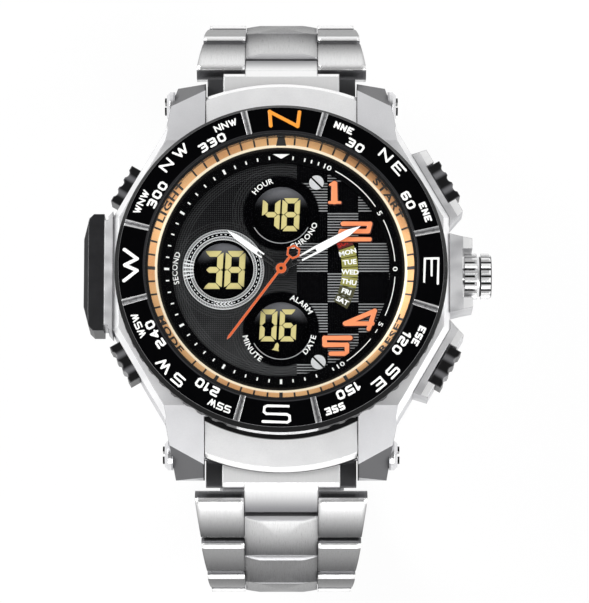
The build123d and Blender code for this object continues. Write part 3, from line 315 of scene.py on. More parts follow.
def end_link_steel():
    """End link: brushed foot and tongue painted bright near the case and darker away from it as
    painted shading, its low wings and under parts in painted dark shade, and painted dark lines
    along its edges.
    """
    tongue_half, wing_top, foot_half, step_top = 5.7, 2.9, 8.95, 4.2
    f = Finish("end_link_steel")
    x, y, z = f.place()
    soft = f.rounded(0.3)
    lines = f.noise((14.0, 0.5, 0.5), 4.0, 0.7)
    # painted shading: bright near the case and darker away from it
    away = abs(y).ramp(32.2, 35.4)
    shade = f.mix(away, grey(250, 0), grey(122, 3))
    shade = f.mix((lines - 0.5) * (0.25 + away * 0.6) + 0.08, shade, grey(150, 3))
    # painted shade on the low wings and under parts
    wing = (abs(x) > tongue_half) * (z < wing_top) | (abs(x) > foot_half)
    shade = f.mix(wing, shade, grey(76))
    step = (abs(x) > CENTRE_HALF) * (z < step_top) * (1 - wing)
    shade = f.mix(step, shade, grey(206))
    # painted shade: dark lines along the edges
    shade = f.mix(f.edge(soft) * 0.55 * (1 - wing), shade, grey(120))
    return f.coat(shade, 0.24 + lines * 0.16, 0.6, f.bump(lines, 0.012, 0.6, soft))


def link_steel(side, row):
    """Link of one row: brushed along, painted bright at its case-side end and darker away from it
    as painted shading, with polished sides, polished bevels painted bright as painted highlights,
    painted shade towards the outer links' sides and end faces in painted dark shade. Its own frame
    runs along and up from its hinge."""
    y, z = HINGE_Y, HINGE_Z
    for n in range(row):
        bend = math.radians(FIRST_BEND + n * ROW_BEND)
        y, z = y + ROW_PITCH * math.cos(bend), z - ROW_PITCH * math.sin(bend)
    bend = math.radians(FIRST_BEND + row * ROW_BEND)
    ahead, up = math.cos(bend), math.sin(bend)
    f = Finish(f"link_steel_{'12' if side > 0 else '6'}_{row + 1}")
    at_x, at_y, at_z = f.place()
    nx, ny, nz = f.facing()
    along = (at_y * side - y) * ahead - (at_z - z) * up
    height = (at_y * side - y) * up + (at_z - z) * ahead
    face_along = abs(ny * (side * ahead) - nz * up)
    soft = f.rounded(0.9)
    lines = f.noise((16.0, 0.4, 0.4), 4.0, 0.7)
    fine = f.noise((40.0, 0.8, 0.8), 2.0, 0.6)
    middle = abs(at_x) < CENTRE_HALF
    middle_lag, lead = 3.4, 1.2
    fade = ((along - middle * middle_lag + lead) / ROW_PITCH).ramp(0.0, 1.0)
    outer_near, outer_far, middle_near, middle_far = LINK_SHADING_GREYS[min(row, len(LINK_SHADING_GREYS) - 1)]
    if side > 0 and row == 0:
        outer_near += FIRST_ROW_PAINTED_LIGHT
    # painted shading: the near end bright and the far end dark, by the row's greys
    outer = f.mix(fade, grey(outer_near, 0), grey(outer_far))
    shade = f.mix(middle, outer, f.mix(fade, grey(middle_near, 0), grey(middle_far)))
    shade = f.mix((lines - 0.5) * 0.6 + 0.1, shade, grey(150, 3))
    outer_side = 13.2 - row * 0.45
    # painted shade towards the outer links' sides
    rim = (1 - middle) * abs(abs(at_x) - outer_side).ramp(0.9, 0.2)
    shade = f.mix(rim * 0.3, shade, grey(70))
    side_face = abs(nx).ramp(0.7, 0.9)
    shade = f.mix(side_face, shade, grey(176, 3))
    # painted highlight: the polished bevels painted bright
    bevel = face_along.between(0.5, 0.93) * (height > 0.9)
    shade = f.mix(bevel, shade, f.mix(middle, grey(252, 0), grey(196)))
    # painted shade on the end faces
    wall = (face_along > 0.93) * (height > -1.4)
    shade = f.mix(wall, shade, grey(104))
    polish = bevel | side_face
    rough = 0.3 + (fine - 0.5) * 0.2 - polish * 0.16
    brush = (lines + fine) * (1 - polish)
    return f.coat(shade, rough, 0.9 - middle * 0.5, f.bump(brush, 0.012, 0.7, soft))


def brushed_steel(name, along):
    """Steel with long brush lines, and polished sides and edges painted lighter as a painted
    highlight.
    """
    f = Finish(name)
    soft = f.rounded(0.16)
    lines = f.noise(along, 4.0, 0.7)
    fine = f.noise((along[0] * 2.6, *along[1:]), 2.0, 0.6)
    side = abs(f.facing()[0]).ramp(0.75, 0.95)
    brushed = (1 - side) * (1 - f.edge(soft))
    shade = f.mix(lines.ramp(0.25, 0.75), grey(190, 3), grey(222))
    # painted highlight: the polished sides and edges painted lighter
    shade = f.mix(1 - brushed, shade, grey(236, 1))
    rough = 0.14 + brushed * (0.19 + (fine - 0.5) * 0.22)
    return f.coat(shade, rough, 1.0, f.bump((lines + fine) * brushed, 0.012, 0.8, soft))


def screw_steel():
    """Polished lug screws with seats in painted shade and slotted ends painted dark as painted
    shade.
    """
    seat_end, head_end = 16.62, 17.62
    f = Finish("screw_steel")
    out = abs(f.place()[0])
    marks = f.noise(3.0, 4.0, 0.7)
    shade = f.mix(marks, grey(205, 3), grey(240, 1))
    # painted shade on the seats
    shade = f.mix((out < seat_end) * 0.5, shade, grey(120, 4))
    # painted shade on the slotted ends
    shade = f.mix(out > head_end, shade, grey(14, 1))
    return f.coat(shade, 0.12 + marks * 0.08, 0.95, f.bump(marks, 0.004, 0.3, f.rounded(0.1)))


def polished_steel():
    """Polished steel with faint handling marks."""
    f = Finish("polished_steel")
    marks = f.noise(3.0, 4.0, 0.7)
    shade = f.mix(f.noise(0.6), grey(226), grey(240, 1))
    return f.coat(shade, 0.09 + marks * 0.08, 1.0, f.bump(marks, 0.004, 0.3, f.rounded(0.1)))


def crown_steel():
    """Turned crown: bright ridges, painted shade in the flutes, a groove painted bright as painted
    light against its own shade, painted dark lines along the edges, and fine rings on its end.
    """
    axis_z, groove_x, groove_half, flute_foot, flute_top = 5.6, 29.7, 0.34, 3.18, 3.3
    f = Finish("crown_steel")
    x, y, z = f.place()
    reach = (y * y + (z - axis_z) * (z - axis_z)) ** 0.5
    soft = f.rounded(0.1)
    turned = f.noise((14.0, 1.2, 1.2), 3.0, 0.6)
    rings = (reach / 0.22).math("SINE") * 0.5 + 0.5
    end = abs(f.facing()[0]) > 0.9
    shade = f.mix(turned, grey(232, 1), grey(252, 0))
    # painted shade in the flutes
    flute_shade = (1 - reach.ramp(flute_foot, flute_top)) * (1 - end)
    shade = f.mix(flute_shade, shade, grey(44))
    # painted light: the groove painted bright against its own shade
    groove = (abs(x - groove_x) < groove_half) * (reach < flute_top)
    shade = f.mix(groove, shade, grey(240, 1))
    # painted shade: dark lines along the edges
    shade = f.mix(f.edge(soft) * 0.4, shade, grey(60))
    shade = f.mix(end * rings * 0.3, shade, grey(150, 3))
    return f.coat(shade, 0.18 + turned * 0.1, 0.75, f.bump(turned + rings * end, 0.01, 0.5, soft))


def forged_steel():
    """Satin forged guards and block: broad soft painted reflections, grain, upright faces in
    painted shade, ears painted white on top as a painted highlight, and painted dark lines along
    the edges.
    """
    ear_start, crown_guard_half = 27.6, 8.0
    f = Finish("forged_steel")
    x, y, _ = f.place()
    nz = f.facing()[2]
    soft = f.rounded(0.2)
    painted_reflection = f.noise((0.22, 0.35, 0.35), 1.0, 0.4)
    grain = f.noise(11.0, 3.0, 0.7)
    # painted reflection: broad soft light and dark patches
    shade = f.mix(painted_reflection.ramp(0.3, 0.65), grey(196), grey(240, 1))
    shade = f.mix((grain - 0.5) * 0.9 + 0.12, shade, grey(176, 3))
    # painted shade on the upright faces
    shade = f.mix((nz < 0.3) * 0.45, shade, grey(150, 3))
    reach = x * math.cos(PUSHER_ANGLE) + abs(y) * math.sin(PUSHER_ANGLE)
    crown_ear = (x > ear_start) * (abs(y) < crown_guard_half)
    pusher_ear = (reach > ear_start) * (abs(y) > crown_guard_half) * (x > 0)
    # painted highlight: the ears painted white on top
    shade = f.mix((crown_ear | pusher_ear) * (nz > 0.3), shade, grey(252, 0))
    # painted shade: dark lines along the edges
    shade = f.mix(f.edge(soft) * 0.6, shade, grey(104))
    return f.coat(shade, 0.34 + grain * 0.1, 0.55, f.bump(grain, 0.015, 0.5, soft))


def button_black():
    """Satin black push pieces, with soft grey painted highlights on their scalloped faces and
    painted highlights along their edges.
    """
    scallop_off = 1.35
    f = Finish("button_black")
    x, y, _ = f.place()
    soft = f.rounded(0.3)
    grain = f.noise(7.0, 3.0, 0.6)
    across = y * math.cos(PUSHER_ANGLE) - abs(x) * (y.math("SIGN") * math.sin(PUSHER_ANGLE))
    # painted highlight: soft grey bands on the scallops
    light = 1 - abs(abs(across) - scallop_off).ramp(0.1, 0.75)
    shade = f.mix(grain, grey(14, 1), grey(24, 1))
    shade = f.mix(light * 0.8, shade, grey(126, 3))
    # painted highlight along the edges
    shade = f.mix(f.edge(soft) * 0.5, shade, grey(110))
    rough = 0.34 + (grain - 0.5) * 0.14
    return f.coat(shade, rough, 0.3, f.bump(grain, 0.01, 0.4, soft), specular=0.3)


def bezel_steel():
    """Black plated bezel rim with a thin painted highlight on its crest, painted highlights on its
    other edges away from the quarters, and light grey outer walls at the quarters.
    """
    crest_radius, wall_radius = 24.4, 24.6
    f = Finish("bezel_steel")
    radius = f.radius()
    upward = f.facing()[2].ramp(0.15, 0.4)
    soft = f.rounded(0.12)
    edge = f.edge(soft)
    lip = 1 - quarter_off(f.bearing()).ramp(13.6, 14.4)
    grain = f.noise(5.0, 3.0)
    top = (radius > crest_radius) * upward
    wall = (radius > wall_radius) * (1 - upward)
    shade = f.mix(grain, grey(8, 1), grey(14, 1))
    shade = f.mix(wall * lip, shade, f.mix(f.noise(0.5), grey(190), grey(240, 1)))
    # painted highlight along the crest
    shade = f.mix(edge * top * 0.7, shade, grey(150))
    # painted highlight along the other edges away from the quarters
    shade = f.mix(edge * (1 - top) * (1 - lip) * 0.35, shade, grey(120))
    rough = 0.3 - lip * 0.1 + (grain - 0.5) * 0.1
    return f.coat(shade, rough, wall * lip * 0.6, f.bump(grain, 0.006, 0.4, soft), specular=0.06)


def insert_black():
    """Glossy black scale insert, with a painted highlight on its inner edge."""
    f = Finish("insert_black")
    dust = f.noise(1.4, 3.0)
    # painted highlight on the inner edge
    bore_highlight = 1 - f.radius().ramp(20.72, 20.8)
    shade = f.mix(dust, grey(3, 1), grey(6, 1))
    shade = f.mix(bore_highlight, shade, grey(46))
    return f.coat(shade, 0.08 + dust * 0.05, 0.0, specular=0.0)


def rib_steel():
    """Grooved dark bars beside the quarters, with bright edges."""
    rib_middle = 14.6
    f = Finish("rib_steel")
    across = (quarter_off(f.bearing()) - rib_middle) * f.radius() * math.radians(1)
    inner_edge = across < -0.27
    outer_edge = across.between(0.33, 0.6)
    groove = abs((across * 5.2).math("SINE"))
    streak = f.noise(2.0, 4.0, 0.7)
    shade = f.mix(groove * streak.ramp(0.25, 0.6), grey(84), grey(196))
    shade = f.mix(inner_edge, shade, grey(252, 0))
    shade = f.mix(outer_edge * 0.8, shade, grey(232, 1))
    return f.coat(shade, 0.24 - inner_edge * 0.08, 0.85, f.bump(groove, 0.03, 0.6, f.rounded(0.08)))


def cap_black():
    """Satin black plated cap with painted highlights along its edges."""
    f = Finish("cap_black")
    soft = f.rounded(0.18)
    grain = f.noise(7.0, 3.0, 0.6)
    shade = f.mix(f.noise(0.5), grey(28), grey(44))
    # painted highlight along the edges
    shade = f.mix(f.edge(soft) * 0.4, shade, grey(150))
    rough = 0.4 + (grain - 0.5) * 0.14
    return f.coat(shade, rough, 0.35, f.bump(grain, 0.01, 0.4, soft), specular=0.3)


def copper_lacquer():
    """Copper-coloured chapter ring, in painted shade between the quarters and more so on its right,
    with a painted cream highlight on its inner edge.
    """
    f = Finish("copper_lacquer")
    x = f.place()[0]
    radius = f.radius()
    grain = f.noise((5.0, 5.0, 1.0), 3.0, 0.6)
    warm = f.noise(0.12, 1.0)
    shade = f.mix(warm.ramp(0.35, 0.65), tone(206, 142, 88), tone(232, 178, 120))
    shade = f.mix((grain - 0.5) * 0.6 + 0.3, shade, tone(238, 190, 138))
    quarter = (f.bearing() * math.radians(4)).math("COSINE") * 0.5 + 0.5
    # painted shade between the quarters, stronger on the right
    diagonal_shade = (1 - quarter) * radius.ramp(18.9, 20.0) * (x.ramp(-8.0, 8.0) * 0.45 + 0.25)
    shade = f.mix(diagonal_shade, shade, tone(122, 84, 54))
    # painted highlight on the inner edge
    inner_highlight = 1 - radius.ramp(18.95, 19.12)
    shade = f.mix(inner_highlight, shade, tone(255, 238, 208))
    return f.coat(shade, 0.3 + grain * 0.1, 0.55 - inner_highlight * 0.35, f.bump(grain, 0.008, 0.4))


def flange_black():
    """Satin black minute flange, a little lighter towards its top edge."""
    f = Finish("flange_black")
    grain = f.noise(8.0, 3.0)
    shade = f.mix(f.radius().ramp(18.1, 18.6), grey(7, 1), tone(40, 38, 35))
    return f.coat(shade, 0.4 + grain * 0.12, 0.0, f.bump(grain, 0.006, 0.4), specular=0.0)


def dial_black():
    """Black dial with blocks of lines on the right, fine mesh on the left and plain collars."""
    block_x, block_y, block_side = 2.38, -0.36, 4.64
    f = Finish("dial_black")
    x, y, _ = f.place()
    radius = f.radius()
    parity = (math.floor((x - block_x) / block_side) + math.floor((y - block_y) / block_side)) % 2
    level_block = (1 - parity) * y.stripes(0.422, 0.3, 0.72)
    upright_block = parity * x.stripes(0.36, 0.3, 0.6)
    mesh = x.stripes(0.3, 0.25, 0.75) * y.stripes(0.3, 0.25, 0.75)
    arcs = radius.stripes(0.36, 0.3, 0.7) * radius.ramp(14.6, 14.9)
    plain = radius.ramp(16.9, 16.5)
    for window in WINDOWS:
        far = f.radius(*window)
        plain = plain * far.ramp(5.6, 5.9)
        ripples = far.stripes(0.42, 0.3, 0.6) * far.between(5.9, 7.6)
        mesh = mesh | ripples * 0.7
    right = x > block_x
    lower = 1 - y.ramp(-16.0, 10.0)
    right_grey = level_block * 0.5 + upright_block * 0.006
    left_grey = mesh * 0.05 + arcs * 0.03 + lower * 0.035 + 0.006
    patches = 0.65 + f.noise(0.35) * 0.6
    share = (right * right_grey + (1 - right) * left_grey) * plain * patches
    shade = f.mix(share, grey(3, 1), tone(196, 197, 199))
    return f.coat(shade, 0.45, 0.0, f.bump(share, 0.05, 0.6), specular=0.0)


def dial_screw_steel():
    """Bright satin screw heads with painted highlights along their edges and painted shade in the
    slot.
    """
    slot_top = 11.29
    f = Finish("dial_screw_steel")
    turned = f.noise((9.0, 9.0, 1.0), 3.0, 0.6)
    shade = f.mix(turned, grey(186), grey(232, 1))
    # painted highlight along the edges
    shade = f.mix(f.edge(f.rounded(0.05)) * 0.6, shade, grey(250, 0))
    # painted shade in the slot
    shade = f.mix(f.place()[2] < slot_top, shade, grey(14, 1))
    return f.coat(shade, 0.3 + turned * 0.1, 0.2, f.bump(turned, 0.006, 0.5))


def cell_black():
    """Negative liquid crystal cell, black with a pale dome of reflection at each window's top."""
    window_radius, dome_drop = 4.6, 1.6
    f = Finish("cell_black")
    y = f.place()[1]
    dome = 0.0
    for wx, wy in WINDOWS:
        inside = f.radius(wx, wy) < window_radius
        below = f.radius(wx, wy - dome_drop)
        dome = dome + inside * ((y - wy).ramp(0.8, 4.3) * below.ramp(3.1, 4.4))
    dust = f.noise(2.0)
    shade = f.mix(dome * 0.95, grey(4, 1), grey(112, 4))
    return f.coat(shade, 0.16 + dust * 0.05, 0.0, specular=0.0)


def braid_ring():
    """Window ring of two silver bands with bright edges and a black dashed track between them."""
    f = Finish("braid_ring")
    far, bearing = f.radius(*WINDOWS[2]), f.bearing(*WINDOWS[2])
    around = bearing + 180
    twist = (bearing + far * 8.0).stripes(4.0, 0.3, 1.0)
    bands = far.between(4.55, 5.08) | far.between(5.6, 6.15)
    edges = (far.between(4.55, 4.64) | far.between(4.98, 5.08)
             | far.between(5.62, 5.71) | far.between(6.03, 6.15))
    track = far.between(5.29, 5.41) * around.stripes(7.2, 0.28, 0.68)
    ladder = (abs(bearing + 90) < 15.0) * around.stripes(6.0, 0.3, 0.7)
    at_foot = (abs(abs(bearing) - 180) < 15) * far.between(5.08, 5.6)
    chevrons = (bearing + 360 + abs(far - 5.33) * 16).stripes(6.0, 0.1, 0.6)
    marks = bands * (twist * 0.26 + 0.08) | edges * 0.9 | track | ladder * far.between(4.5, 6.15)
    marks = marks * (1 - at_foot) + at_foot * (1 - chevrons) * 0.9
    shade = f.mix(marks, grey(4, 1), tone(236, 237, 238))
    return f.coat(shade, 0.4, marks * 0.2, f.bump(marks, 0.05, 0.6), specular=0.05)


def lacquer(name, colour, rough=0.35, spread=0.05, clear=0.3, metal=0.0):
    """Lacquer or pad-printed ink with a slight mottle."""
    f = Finish(name)
    mottle = f.noise(6.0, 3.0, 0.6)
    shade = f.mix(mottle, scaled(colour, 1 - spread), scaled(colour, 1 + spread))
    return f.coat(shade, rough + (mottle - 0.5) * 0.1, metal, f.bump(mottle, 0.004, 0.3),
                  clear=clear, clear_roughness=0.1)


def hand_lacquer(name, colour, brushed, dark_within):
    """Lacquered hand with fine cross lines and painted highlights along its edges, blackened near
    its hub.
    """
    f = Finish(name)
    soft = f.rounded(0.05)
    edge = f.edge(soft)
    lines = f.noise((3.0, 9.0, 1.0), 3.0, 0.6)
    shade = f.mix(lines, scaled(colour, brushed), colour)
    # painted highlight along the edges
    shade = f.mix(edge * 0.4, shade, grey(255, 0))
    # black near the hub, with painted highlights along its edges there
    shade = f.mix(f.radius() < dark_within, shade, f.mix(edge, grey(10, 1), grey(120)))
    return f.coat(shade, 0.3, 0.0, f.bump(lines, 0.006, 0.4, soft), clear=0.3, clear_roughness=0.1)


def watch_crystal():
    """Clear crystal with a faint haze, which mirrors only at very low angles."""
    least_gloss, edge_gloss = 0.0015, 0.6
    f = Finish("watch_crystal")
    haze = f.noise(1.0)
    gloss = f.node("ShaderNodeBsdfPrincipled", inputs={"Base Color": tone(250, 252, 255),
                   "Roughness": 0.02 + haze * 0.015, "Metallic": 1.0})
    clear = f.node("ShaderNodeBsdfTransparent", inputs={"Color": (0.985, 0.99, 0.99, 1.0)})
    away = f.node("ShaderNodeLayerWeight", inputs={"Blend": 0.5}, output="Facing")
    glance = away ** 5 * edge_gloss + least_gloss
    return f.surface(f.node("ShaderNodeMixShader", inputs={0: glance, 1: clear, 2: gloss}))


def rubber():
    """Matt black rubber of the gaskets."""
    f = Finish("rubber")
    grain = f.noise(6.0, 3.0)
    shade = f.mix(grain, grey(14, 1), grey(26, 1))
    return f.coat(shade, 0.62 + grain * 0.15, 0.0, f.bump(grain, 0.01, 0.5), specular=0.2)


def holder_plastic():
    """Moulded plastic of the movement."""
    colour = grey(70, 4)
    f = Finish("holder_plastic")
    grain = f.noise(4.0, 3.0)
    shade = f.mix(grain, scaled(colour, 0.8), colour)
    return f.coat(shade, 0.5 + grain * 0.12, 0.0, f.bump(grain, 0.01, 0.4))


def grained_metal(name, colour, along):
    """Brass or copper with fine lines."""
    f = Finish(name)
    lines = f.noise(along, 3.0, 0.6)
    shade = f.mix(lines, scaled(colour, 0.7), colour)
    return f.coat(shade, 0.28 + lines * 0.12, 1.0, f.bump(lines, 0.01, 0.5))


def board_lacquer():
    """Green board with copper traces under lacquer."""
    f = Finish("board_lacquer")
    x, y, _ = f.place()
    wander = f.noise(0.35)
    trace = ((x * 0.9 + wander * 2.5).stripes(1.0, 0.42, 0.6)
             | (y * 0.7 + wander * 2.0).stripes(1.0, 0.45, 0.58))
    shade = f.mix(trace, tone(24, 92, 52), tone(70, 138, 74))
    return f.coat(shade, 0.25, 0.0, f.bump(trace, 0.02, 0.6), clear=0.5, clear_roughness=0.12)


def cell_can():
    """Turned steel of the battery and its clip."""
    f = Finish("cell_can")
    lines = f.noise((6.0, 6.0, 0.5), 3.0)
    shade = f.mix(lines, tone(190, 192, 196), tone(228, 229, 232))
    return f.coat(shade, 0.2 + lines * 0.1, 1.0, f.bump(lines, 0.005, 0.4))


def dress(finish, *nodes):
    """Gives one finish to whole nodes of the frame."""
    for node in nodes:
        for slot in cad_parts[node].material_slots:
            slot.material = finish


INK_WHITE = lacquer("ink_white", grey(240, -2), 0.4, 0.03)
INK_BLACK = lacquer("ink_black", tone(14, 10, 8), 0.4, 0.1, clear=0.0)
SILVER_INK = lacquer("silver_ink", tone(196, 198, 200), 0.3, 0.06, metal=0.5)
NUMERAL_ORANGE = lacquer("numeral_orange", tone(250, 146, 96), 0.36, 0.05)
NUMERAL_SHADE = lacquer("numeral_shade", tone(58, 18, 8), 0.5, 0.2, clear=0.0)
BEZEL_ORANGE = lacquer("bezel_orange", tone(232, 146, 40), 0.3, 0.07)
DIGIT_KHAKI = lacquer("digit_khaki", tone(202, 189, 126), 0.5, 0.05, clear=0.0)

dress(blasted_steel(), "case_middle")
dress(plate_steel(), "lug_plates")
dress(end_link_steel(), "end_link_12", "end_link_6")
dress(forged_steel(), "pusher_guards", "side_block", "crown_guard")
for row in range(ROWS):
    dress(link_steel(1, row), f"bracelet_12_row_{row + 1}")
    dress(link_steel(-1, row), f"bracelet_6_row_{row + 1}")
dress(brushed_steel("cover_steel", (16.0, 0.5, 0.5)), "clasp_cover")
dress(brushed_steel("blade_steel", (9.0, 0.6, 0.6)), "clasp_middle_blade", "clasp_inner_blade")
dress(screw_steel(), "lug_screws_and_bars")
dress(polished_steel(), "clasp_button_right", "clasp_button_left", "stem", "crown_tube",
      "pusher_tubes", "case_back_screws")
dress(dial_screw_steel(), "dial_screws")
dress(crown_steel(), "crown")
dress(brushed_steel("back_steel", (3.0, 3.0, 3.0)), "case_back")
dress(bezel_steel(), "bezel_ring")
dress(insert_black(), "bezel_insert")
dress(rib_steel(), "bezel_ribs")
dress(cap_black(), "side_cap")
dress(button_black(), "pusher_start", "pusher_reset", "pusher_light", "pusher_mode")
dress(copper_lacquer(), "chapter_ring")
dress(flange_black(), "dial_flange")
dress(dial_black(), "dial")
dress(cell_black(), "lcd_cells")
dress(braid_ring(), "second_window_ring")
dress(hand_lacquer("white_hands", grey(255, -1), 0.93, 3.4), "hour_hand", "minute_hand")
dress(hand_lacquer("orange_hand", tone(216, 98, 48), 0.85, 0.26), "second_hand")
dress(watch_crystal(), "crystal")
dress(rubber(), "crystal_gasket", "case_back_gasket")
dress(holder_plastic(), "movement_holder")
dress(grained_metal("plate_brass", tone(206, 178, 112), (0.5, 8.0, 0.5)), "main_plate",
      "clutch_wheel")
dress(board_lacquer(), "circuit_board")
dress(cell_can(), "battery", "battery_clip")
dress(grained_metal("coil_copper", tone(196, 112, 62), (0.5, 0.5, 9.0)), "motor_coil")


# Shapes of print and raised marks

STROKE_SIDES, STROKE_STEP, HAIR = 12, 0.002, 1e-9
FONT_SIZE = 1.37  # size over capital height of the plain font
FLAT_INK, THIN_INK, RAISED_INK = 0.02, 0.03, 0.04


def placed(name, data):
    """A new object in the scene."""
    made = bpy.data.objects.new(name, data)
    bpy.context.scene.collection.objects.link(made)
    return made


def finished(name, bm, body, finish):
    """Turns a bmesh in millimetres into a piece of the watch that rides on a body."""
    bmesh.ops.scale(bm, vec=(MM, MM, MM), verts=bm.verts)
    bmesh.ops.recalc_face_normals(bm, faces=bm.faces)
    mesh = bpy.data.meshes.new(name)
    bm.to_mesh(mesh)
    bm.free()
    piece = placed(name, mesh)
    mesh.materials.append(finish)
    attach(piece, body)


def join(total, part):
    """Adds one bmesh to another and frees it."""
    mesh = bpy.data.meshes.new("joining")
    part.to_mesh(mesh)
    part.free()
    total.from_mesh(mesh)
    bpy.data.meshes.remove(mesh)


def plate(points, height):
    """A flat plate over a closed outline, its underside at zero."""
    bm = bmesh.new()
    face = bm.faces.new([bm.verts.new((x, y, 0)) for x, y in points])
    raised = bmesh.ops.extrude_face_region(bm, geom=[face])
    top = [v for v in raised["geom"] if isinstance(v, bmesh.types.BMVert)]
    bmesh.ops.translate(bm, verts=top, vec=(0, 0, height))
    return bm


def stroke(start, end, half, height, soft):
    """A pill-shaped stroke between two points, its top edge rounded where soft isn't zero."""
    middle = Vector((start[0], start[1], height / 2))
    bm = bmesh.new()
    bmesh.ops.create_cone(bm, segments=STROKE_SIDES, cap_ends=True, radius1=half, radius2=half,
                          depth=height)
    bmesh.ops.translate(bm, verts=bm.verts, vec=middle)
    run = Vector((end[0] - start[0], end[1] - start[1], 0))
    ahead = [v for v in bm.verts if (v.co - middle).dot(run) > HAIR]
    bmesh.ops.translate(bm, verts=ahead, vec=run)
    if soft:
        rim = [e for e in bm.edges if all(v.co.z > height * 0.9 for v in e.verts)]
        bmesh.ops.bevel(bm, geom=rim, offset=soft, segments=2, profile=0.5, affect="EDGES",
                        material=-1)
    return bm


def strokes(path, half, height, soft=0.0):
    """Pill strokes along a path, each a little higher than the last, so that no tops coincide."""
    bm = bmesh.new()
    for n, (a, b) in enumerate(zip(path, path[1:])):
        join(bm, stroke(a, b, half, height + STROKE_STEP * n, soft))
    return bm


# Centre lines in a box one unit high, each with its width: compass letters and the digits in use
GLYPHS = {
    "N": (1.15, [[(0, 0), (0, 1), (1.15, 0), (1.15, 1)]]),
    "E": (1.2, [[(1.2, 1), (0, 1), (0, 0), (1.2, 0)], [(0, 0.5), (0.84, 0.5)]]),
    "S": (1.15, [[(1.15, 1), (0.12, 1), (0, 0.9), (0, 0.6), (0.12, 0.5), (1.03, 0.5), (1.15, 0.4),
                  (1.15, 0.1), (1.03, 0), (0.03, 0)]]),
    "W": (1.45, [[(0, 1), (0.42, 0), (0.725, 0.9), (1.03, 0), (1.45, 1)]]),
    "0": (0.78, [[(0, 0.18), (0, 0.82), (0.18, 1), (0.6, 1), (0.78, 0.82), (0.78, 0.18), (0.6, 0),
                  (0.18, 0), (0, 0.18)]]),
    "1": (0.3, [[(0, 0.78), (0.3, 1), (0.3, 0)]]),
    "2": (0.8, [[(0, 1), (0.66, 1), (0.8, 0.88), (0.8, 0.62), (0.68, 0.5), (0.12, 0.5), (0, 0.4),
                 (0, 0), (0.8, 0)]]),
    "3": (0.8, [[(0, 1), (0.66, 1), (0.8, 0.88), (0.8, 0.62), (0.66, 0.52), (0.8, 0.4), (0.8, 0.12),
                 (0.66, 0), (0, 0)], [(0.22, 0.52), (0.66, 0.52)]]),
    "4": (0.85, [[(0.64, 0), (0.64, 1), (0, 0.32), (0.85, 0.32)]]),
    "5": (0.8, [[(0.8, 1), (0, 1), (0, 0.54), (0.66, 0.54), (0.8, 0.42), (0.8, 0.12), (0.66, 0),
                 (0, 0)]]),
    "6": (0.8, [[(0.74, 1), (0.14, 1), (0, 0.86), (0, 0.14), (0.14, 0), (0.66, 0), (0.8, 0.14),
                 (0.8, 0.4), (0.66, 0.52), (0, 0.52)]]),
}


def stroke_word(text, height, stretch, half, gap, thick, soft):
    """Letters of rounded strokes, centred on the origin."""
    core = height - 2 * half
    widths = [GLYPHS[c][0] * core * stretch + 2 * half for c in text]
    x = -(sum(widths) + gap * (len(text) - 1)) / 2
    bm = bmesh.new()
    for c, width in zip(text, widths):
        for line in GLYPHS[c][1]:
            path = [(x + half + px * core * stretch, py * core - core / 2) for px, py in line]
            join(bm, strokes(path, half, thick, soft))
        x += width + gap
    return bm


def font_word(text, height, stretch, weight, thick, spacing=1.0):
    """Letters of Blender's own plain font, centred on the origin, as a thin raised print."""
    curve = bpy.data.curves.new("word", "FONT")
    curve.body = text
    curve.align_x, curve.align_y = "CENTER", "CENTER"
    curve.size = FONT_SIZE * height
    curve.offset = weight
    curve.space_character = spacing
    curve.extrude = thick / 2
    curve.resolution_u = 2
    holder = placed("word", curve)
    bpy.context.view_layer.update()
    solid = holder.evaluated_get(bpy.context.evaluated_depsgraph_get())
    mesh = bpy.data.meshes.new_from_object(solid)
    bm = bmesh.new()
    bm.from_mesh(mesh)
    bmesh.ops.remove_doubles(bm, verts=bm.verts, dist=1e-5)
    bpy.data.objects.remove(holder)
    bpy.data.curves.remove(curve)
    bpy.data.meshes.remove(mesh)
    wide, tall = [v.co.x for v in bm.verts], [v.co.y for v in bm.verts]
    middle = ((min(wide) + max(wide)) / 2, (min(tall) + max(tall)) / 2)
    bmesh.ops.translate(bm, verts=bm.verts, vec=(-middle[0], -middle[1], thick / 2))
    bmesh.ops.scale(bm, vec=(stretch, 1, 1), verts=bm.verts)
    return bm


def laid(bm, x, y, z, turn=0.0):
    """Places a mark flat on the dial, turned anticlockwise by degrees."""
    bmesh.ops.rotate(bm, cent=(0, 0, 0), matrix=Matrix.Rotation(math.radians(turn), 3, "Z"),
                     verts=bm.verts)
    bmesh.ops.translate(bm, verts=bm.verts, vec=(x, y, z))
    return bm


def bent(bm, radius, bearing, surface, tops_out=True, centre=(0.0, 0.0)):
    """Bends a mark round a circle at a clockwise bearing and sets it on a surface of revolution."""
    for v in bm.verts:
        x, y, lift = v.co
        if not tops_out:
            x, y = -x, -y
        r = radius + y
        a = math.radians(bearing) + x / radius
        v.co = (centre[0] + r * math.sin(a), centre[1] + r * math.cos(a), surface(r) + lift)
    return bm


# Height of each printed surface, by radius where it slopes

DIAL_Z, CELL_Z = 11.0, 10.3


def insert_top(r):
    return 13.94 + (24.45 - r) * 0.17105


def chapter_top(r):
    return 12.09 + (r - 18.67) * 0.3595


def flange_top(r):
    return 11.44 + (r - 16.4) * 0.2444


def dial_top(_):
    return DIAL_Z


def sector(inner, outer, start, end, height, steps):
    """A flat arc plate between two clockwise bearings."""
    angles = [math.radians(start + (end - start) * n / steps) for n in range(steps + 1)]
    outside = [(outer * math.sin(a), outer * math.cos(a)) for a in angles]
    inside = [(inner * math.sin(a), inner * math.cos(a)) for a in reversed(angles)]
    return plate(outside + inside, height)


def bar(width, length, height):
    """A flat bar centred on the origin."""
    return plate([(-width / 2, -length / 2), (width / 2, -length / 2), (width / 2, length / 2),
                  (-width / 2, length / 2)], height)


